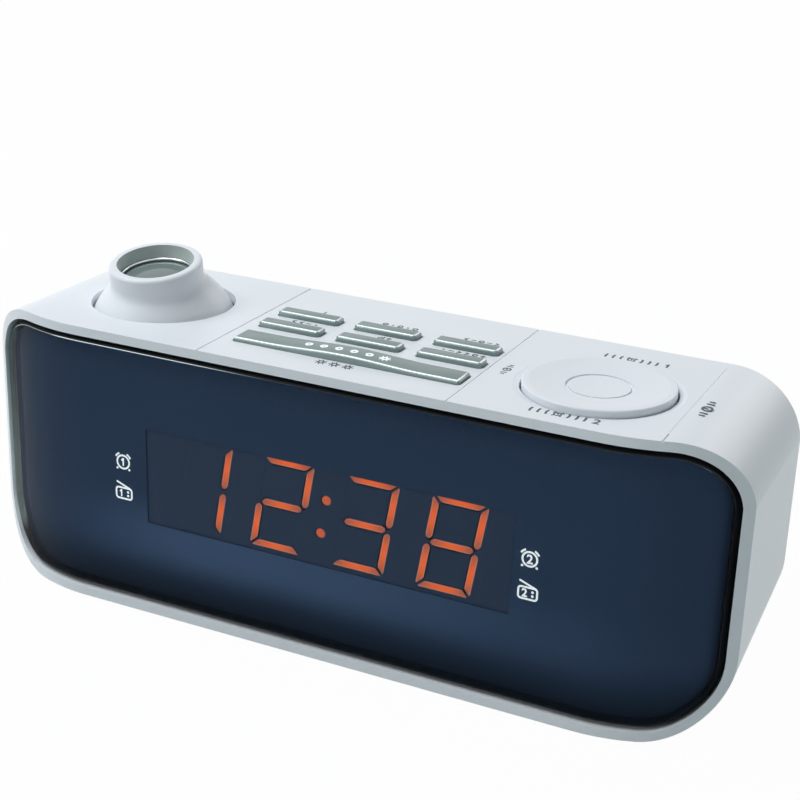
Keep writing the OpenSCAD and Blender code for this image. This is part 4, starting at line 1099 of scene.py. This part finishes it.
DECK_SIGNS = [  # sign, what it shows, x, y and its turn in degrees
    (alarm_row, "1", 58.0, 46.2, 0), (alarm_row, "2", 55.2, 5.2, 0),
    (hand_sign, False, 35.4, 25.2, 90), (hand_sign, True, 82.2, 24.6, 90),
    (mark_row, "i", -19.0, 39.6, 0), (mark_row, "o.o.o", 1.6, 39.7, 0), (mark_row, "<-o->", 23.0, 39.7, 0),
    (mark_row, "<<-.", -19.4, 30.1, 0), (mark_row, "v+", 2.2, 30.1, 0), (mark_row, ".->>o+", 22.4, 30.1, 0),
]


def make_deck_signs():
    bm = bmesh.new()
    for sign, shows, x, y, turn in DECK_SIGNS:
        place = Matrix.Translation((x, y, DECK_Z)) @ Matrix.Rotation(math.radians(turn), 4, "Z")
        add_sign(bm, sign(shows), place)
    for x in LAMPS_ACROSS:
        place = Matrix.Translation((x, LAMPS_BACK, DECK_Z)) @ Matrix.Diagonal(LAMP_SCALE)
        add_sign(bm, lamp_sign(), place)
    finish_piece(bm, "deck_signs", [grey_print], "case")


make_deck_signs()

# %% [markdown]
# Three joint lines cross the deck, where its middle plate and the right end meet the rest. Such a joint
# isn't an open slot: the lip of the next moulding stands in it, just under the surface. A thin white strip
# in each groove stands for that lip, higher in the tight joint at the right, and it keeps the lines light
# instead of black.

# %% Lips in the deck's joints
JOINT_WIDE, JOINT_FLOOR, DECK_BACK, LIP_SOFTENING = 0.38, 0.28, 54.6, 0.05
JOINTS = [(-31.5, 0.8, 0.13), (31.5, 0.8, 0.13), (79.2, 6.5, 0.04)]  # x, front end, depth below the deck


def make_joint_lips():
    bm = bmesh.new()
    for x, front, below in JOINTS:
        middle = (x, (front + DECK_BACK) / 2, CASE_H - (below + JOINT_FLOOR) / 2)
        block = add_block(bm, middle, (JOINT_WIDE, DECK_BACK - front, JOINT_FLOOR - below))
        upper = [edge for edge in block if min(v.co.z for v in edge.verts) > middle[2]]
        soften(bm, upper, LIP_SOFTENING, segments=2)
    finish_piece(bm, "joint_lips", [case_white], "case")


make_joint_lips()

# %% [markdown]
# Each key is a satin silver cap, and the snooze bar is a longer one that swells in the middle. Their shapes
# are right in the CAD, so each is copied and its triangles are merged. The edge round the top, found by how
# the two faces beside it face, is bevelled to a narrow band that takes a brighter colour, a painted
# highlight. The edge at the foot of the slope is then softened a little, because a painted edge is never
# knife-sharp and it is what catches the light.

# %% Keys and snooze bar
KEY_SOFTENING, KEY_BAND, KEY_CRISP = 0.07, 0.2, 38
TOP, SLOPE, LOWER_SLOPE, SIDE = (0.93, 1.01), (0.3, 0.93), (0.3, 0.8), (-0.3, 0.3)
key_nodes = [f"key_{row}_{column}" for row in ("front", "rear") for column in ("left", "middle", "right")]


def edges_between(bm, upper, lower):
    """The edges above the deck where a face of one slope meets one of another, by how far up each faces."""
    def meets(edge):
        faces = sorted((face.normal.z for face in edge.link_faces), reverse=True)
        return (len(faces) == 2 and upper[0] < faces[0] < upper[1] and lower[0] < faces[1] < lower[1]
                and min(v.co.z for v in edge.verts) > CASE_H)
    return [edge for edge in bm.edges if meets(edge)]


def dress_key(node):
    bm = merged_copy(node)
    soften(bm, edges_between(bm, TOP, SLOPE), KEY_BAND, segments=1, material=1, clamp=True)
    bm.normal_update()
    soften(bm, edges_between(bm, LOWER_SLOPE, SIDE), KEY_SOFTENING, segments=1, clamp=True)
    key = finish_piece(bm, node + "_cap", [key_silver, key_highlight], node, crisp=KEY_CRISP)
    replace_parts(key, node)


for node in key_nodes + ["snooze_bar"]:
    dress_key(node)

# %% [markdown]
# Small raised marks run along the middle of the snooze bar so that it can be found in the dark: five rings
# and a little lamp. They are white, with the same faint painted glow as the panel's signs, and follow the
# swell of the bar, so each one's height comes from the same curve as the bar's top.

# %% Raised marks on the snooze bar
SNOOZE_MIDDLE = Vector((1.0, 13.7))
SNOOZE_HALF, SNOOZE_RISE, SNOOZE_CROWN, CROWN_SHARE = 28.55, 1.0, 0.7, 0.72
RINGS, FIRST_MARK, MARK_STEP, MARK_RISE, MARK_SUNK = 5, -2.65, 3.9, 0.16, 0.03
RING_RADIUS, RING_WIDE, SNOOZE_LAMP = 0.68, 0.5, (1.15, 1.15, 1, 1)


def snooze_top(x):
    """Height of the bar's top above the front's bottom edge."""
    t = (x - SNOOZE_MIDDLE.x) / SNOOZE_HALF
    swell = (1 + math.cos(math.pi * t / CROWN_SHARE)) / 2 if abs(t) < CROWN_SHARE else 0
    return CASE_H + SNOOZE_RISE + SNOOZE_CROWN * swell


def make_snooze_marks():
    bm = bmesh.new()
    for place in range(RINGS + 1):
        x = SNOOZE_MIDDLE.x + (FIRST_MARK + place) * MARK_STEP
        sign = bmesh.new()
        if place < RINGS:
            add_ring(sign, (0, 0), RING_RADIUS, RING_WIDE)
        else:
            add_sign(sign, lamp_sign(), Matrix.Diagonal(SNOOZE_LAMP))
        slope = math.atan(snooze_top(x + 0.5) - snooze_top(x - 0.5))
        spot = Matrix.Translation((x, SNOOZE_MIDDLE.y, snooze_top(x) + MARK_RISE / 2 - MARK_SUNK))
        thicken = Matrix.Diagonal((1, 1, MARK_RISE / FILM, 1))
        add_sign(bm, sign, spot @ Matrix.Rotation(-slope, 4, "Y") @ thicken)
    finish_piece(bm, "snooze_marks", [white_print_painted_glow], "snooze_bar")


make_snooze_marks()

# %% [markdown]
# The projector's ball keeps its CAD shape with its triangles merged. The faces of its bore, found by how
# far they lie from the neck's axis, take a darker grey than the case: painted shade for the deep bore.

# %% Projector ball
BALL_MIDDLE = Vector((-58.2, 27.4, 62.8))
NECK_TILT, NECK_TURN, NECK_LENGTH, BORE_RADIUS = math.radians(9.8), math.radians(0.5), 20.6, 9.5
SLACK, BORE_FLOOR, RIM_PART = 0.04, 8, 0.1
neck_turned = Matrix.Rotation(NECK_TURN, 4, "Z") @ Matrix.Rotation(NECK_TILT, 4, "X")
neck = neck_turned.to_3x3() @ Vector((0, 0, 1))


def dress_ball():
    bm = merged_copy("projector_ball")
    for face in bm.faces:
        out = face.calc_center_median() - BALL_MIDDLE
        aside = (out - neck * out.dot(neck)).length
        if aside < BORE_RADIUS + SLACK and BORE_FLOOR < out.dot(neck) < NECK_LENGTH - RIM_PART:
            face.material_index = 1
    ball = finish_piece(bm, "projector_neck", [case_white, bore_painted_shade], "projector_head")
    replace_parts(ball, "projector_ball")


dress_ball()

# %% [markdown]
# The ring that holds the lens is a thin round bead. A flat ring down in the bore would only mirror the
# bore's wall, while a round one catches the light from above as a fine bright line. It is a circle spun
# round the neck's axis.

# %% Lens ring
BEAD_RADIUS, BEAD_SECTION, BEAD_HEIGHT = 9.0, 0.4, 16.94
BEAD_SIDES, BEAD_STEPS = 12, 96


def make_lens_ring():
    bm = bmesh.new()
    place = Matrix.Translation((BEAD_RADIUS, 0, BEAD_HEIGHT)) @ Matrix.Rotation(math.pi / 2, 4, "X")
    bmesh.ops.create_circle(bm, segments=BEAD_SIDES, radius=BEAD_SECTION, matrix=place)
    bmesh.ops.spin(bm, geom=bm.verts[:] + bm.edges[:], cent=(0, 0, 0), axis=(0, 0, 1), angle=2 * math.pi,
                   steps=BEAD_STEPS, use_merge=True, use_duplicate=False)
    bm.transform(Matrix.Translation(BALL_MIDDLE) @ neck_turned)
    return finish_piece(bm, "lens_bead", [lens_trim], "projector_head")


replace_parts(make_lens_ring(), "lens_ring")
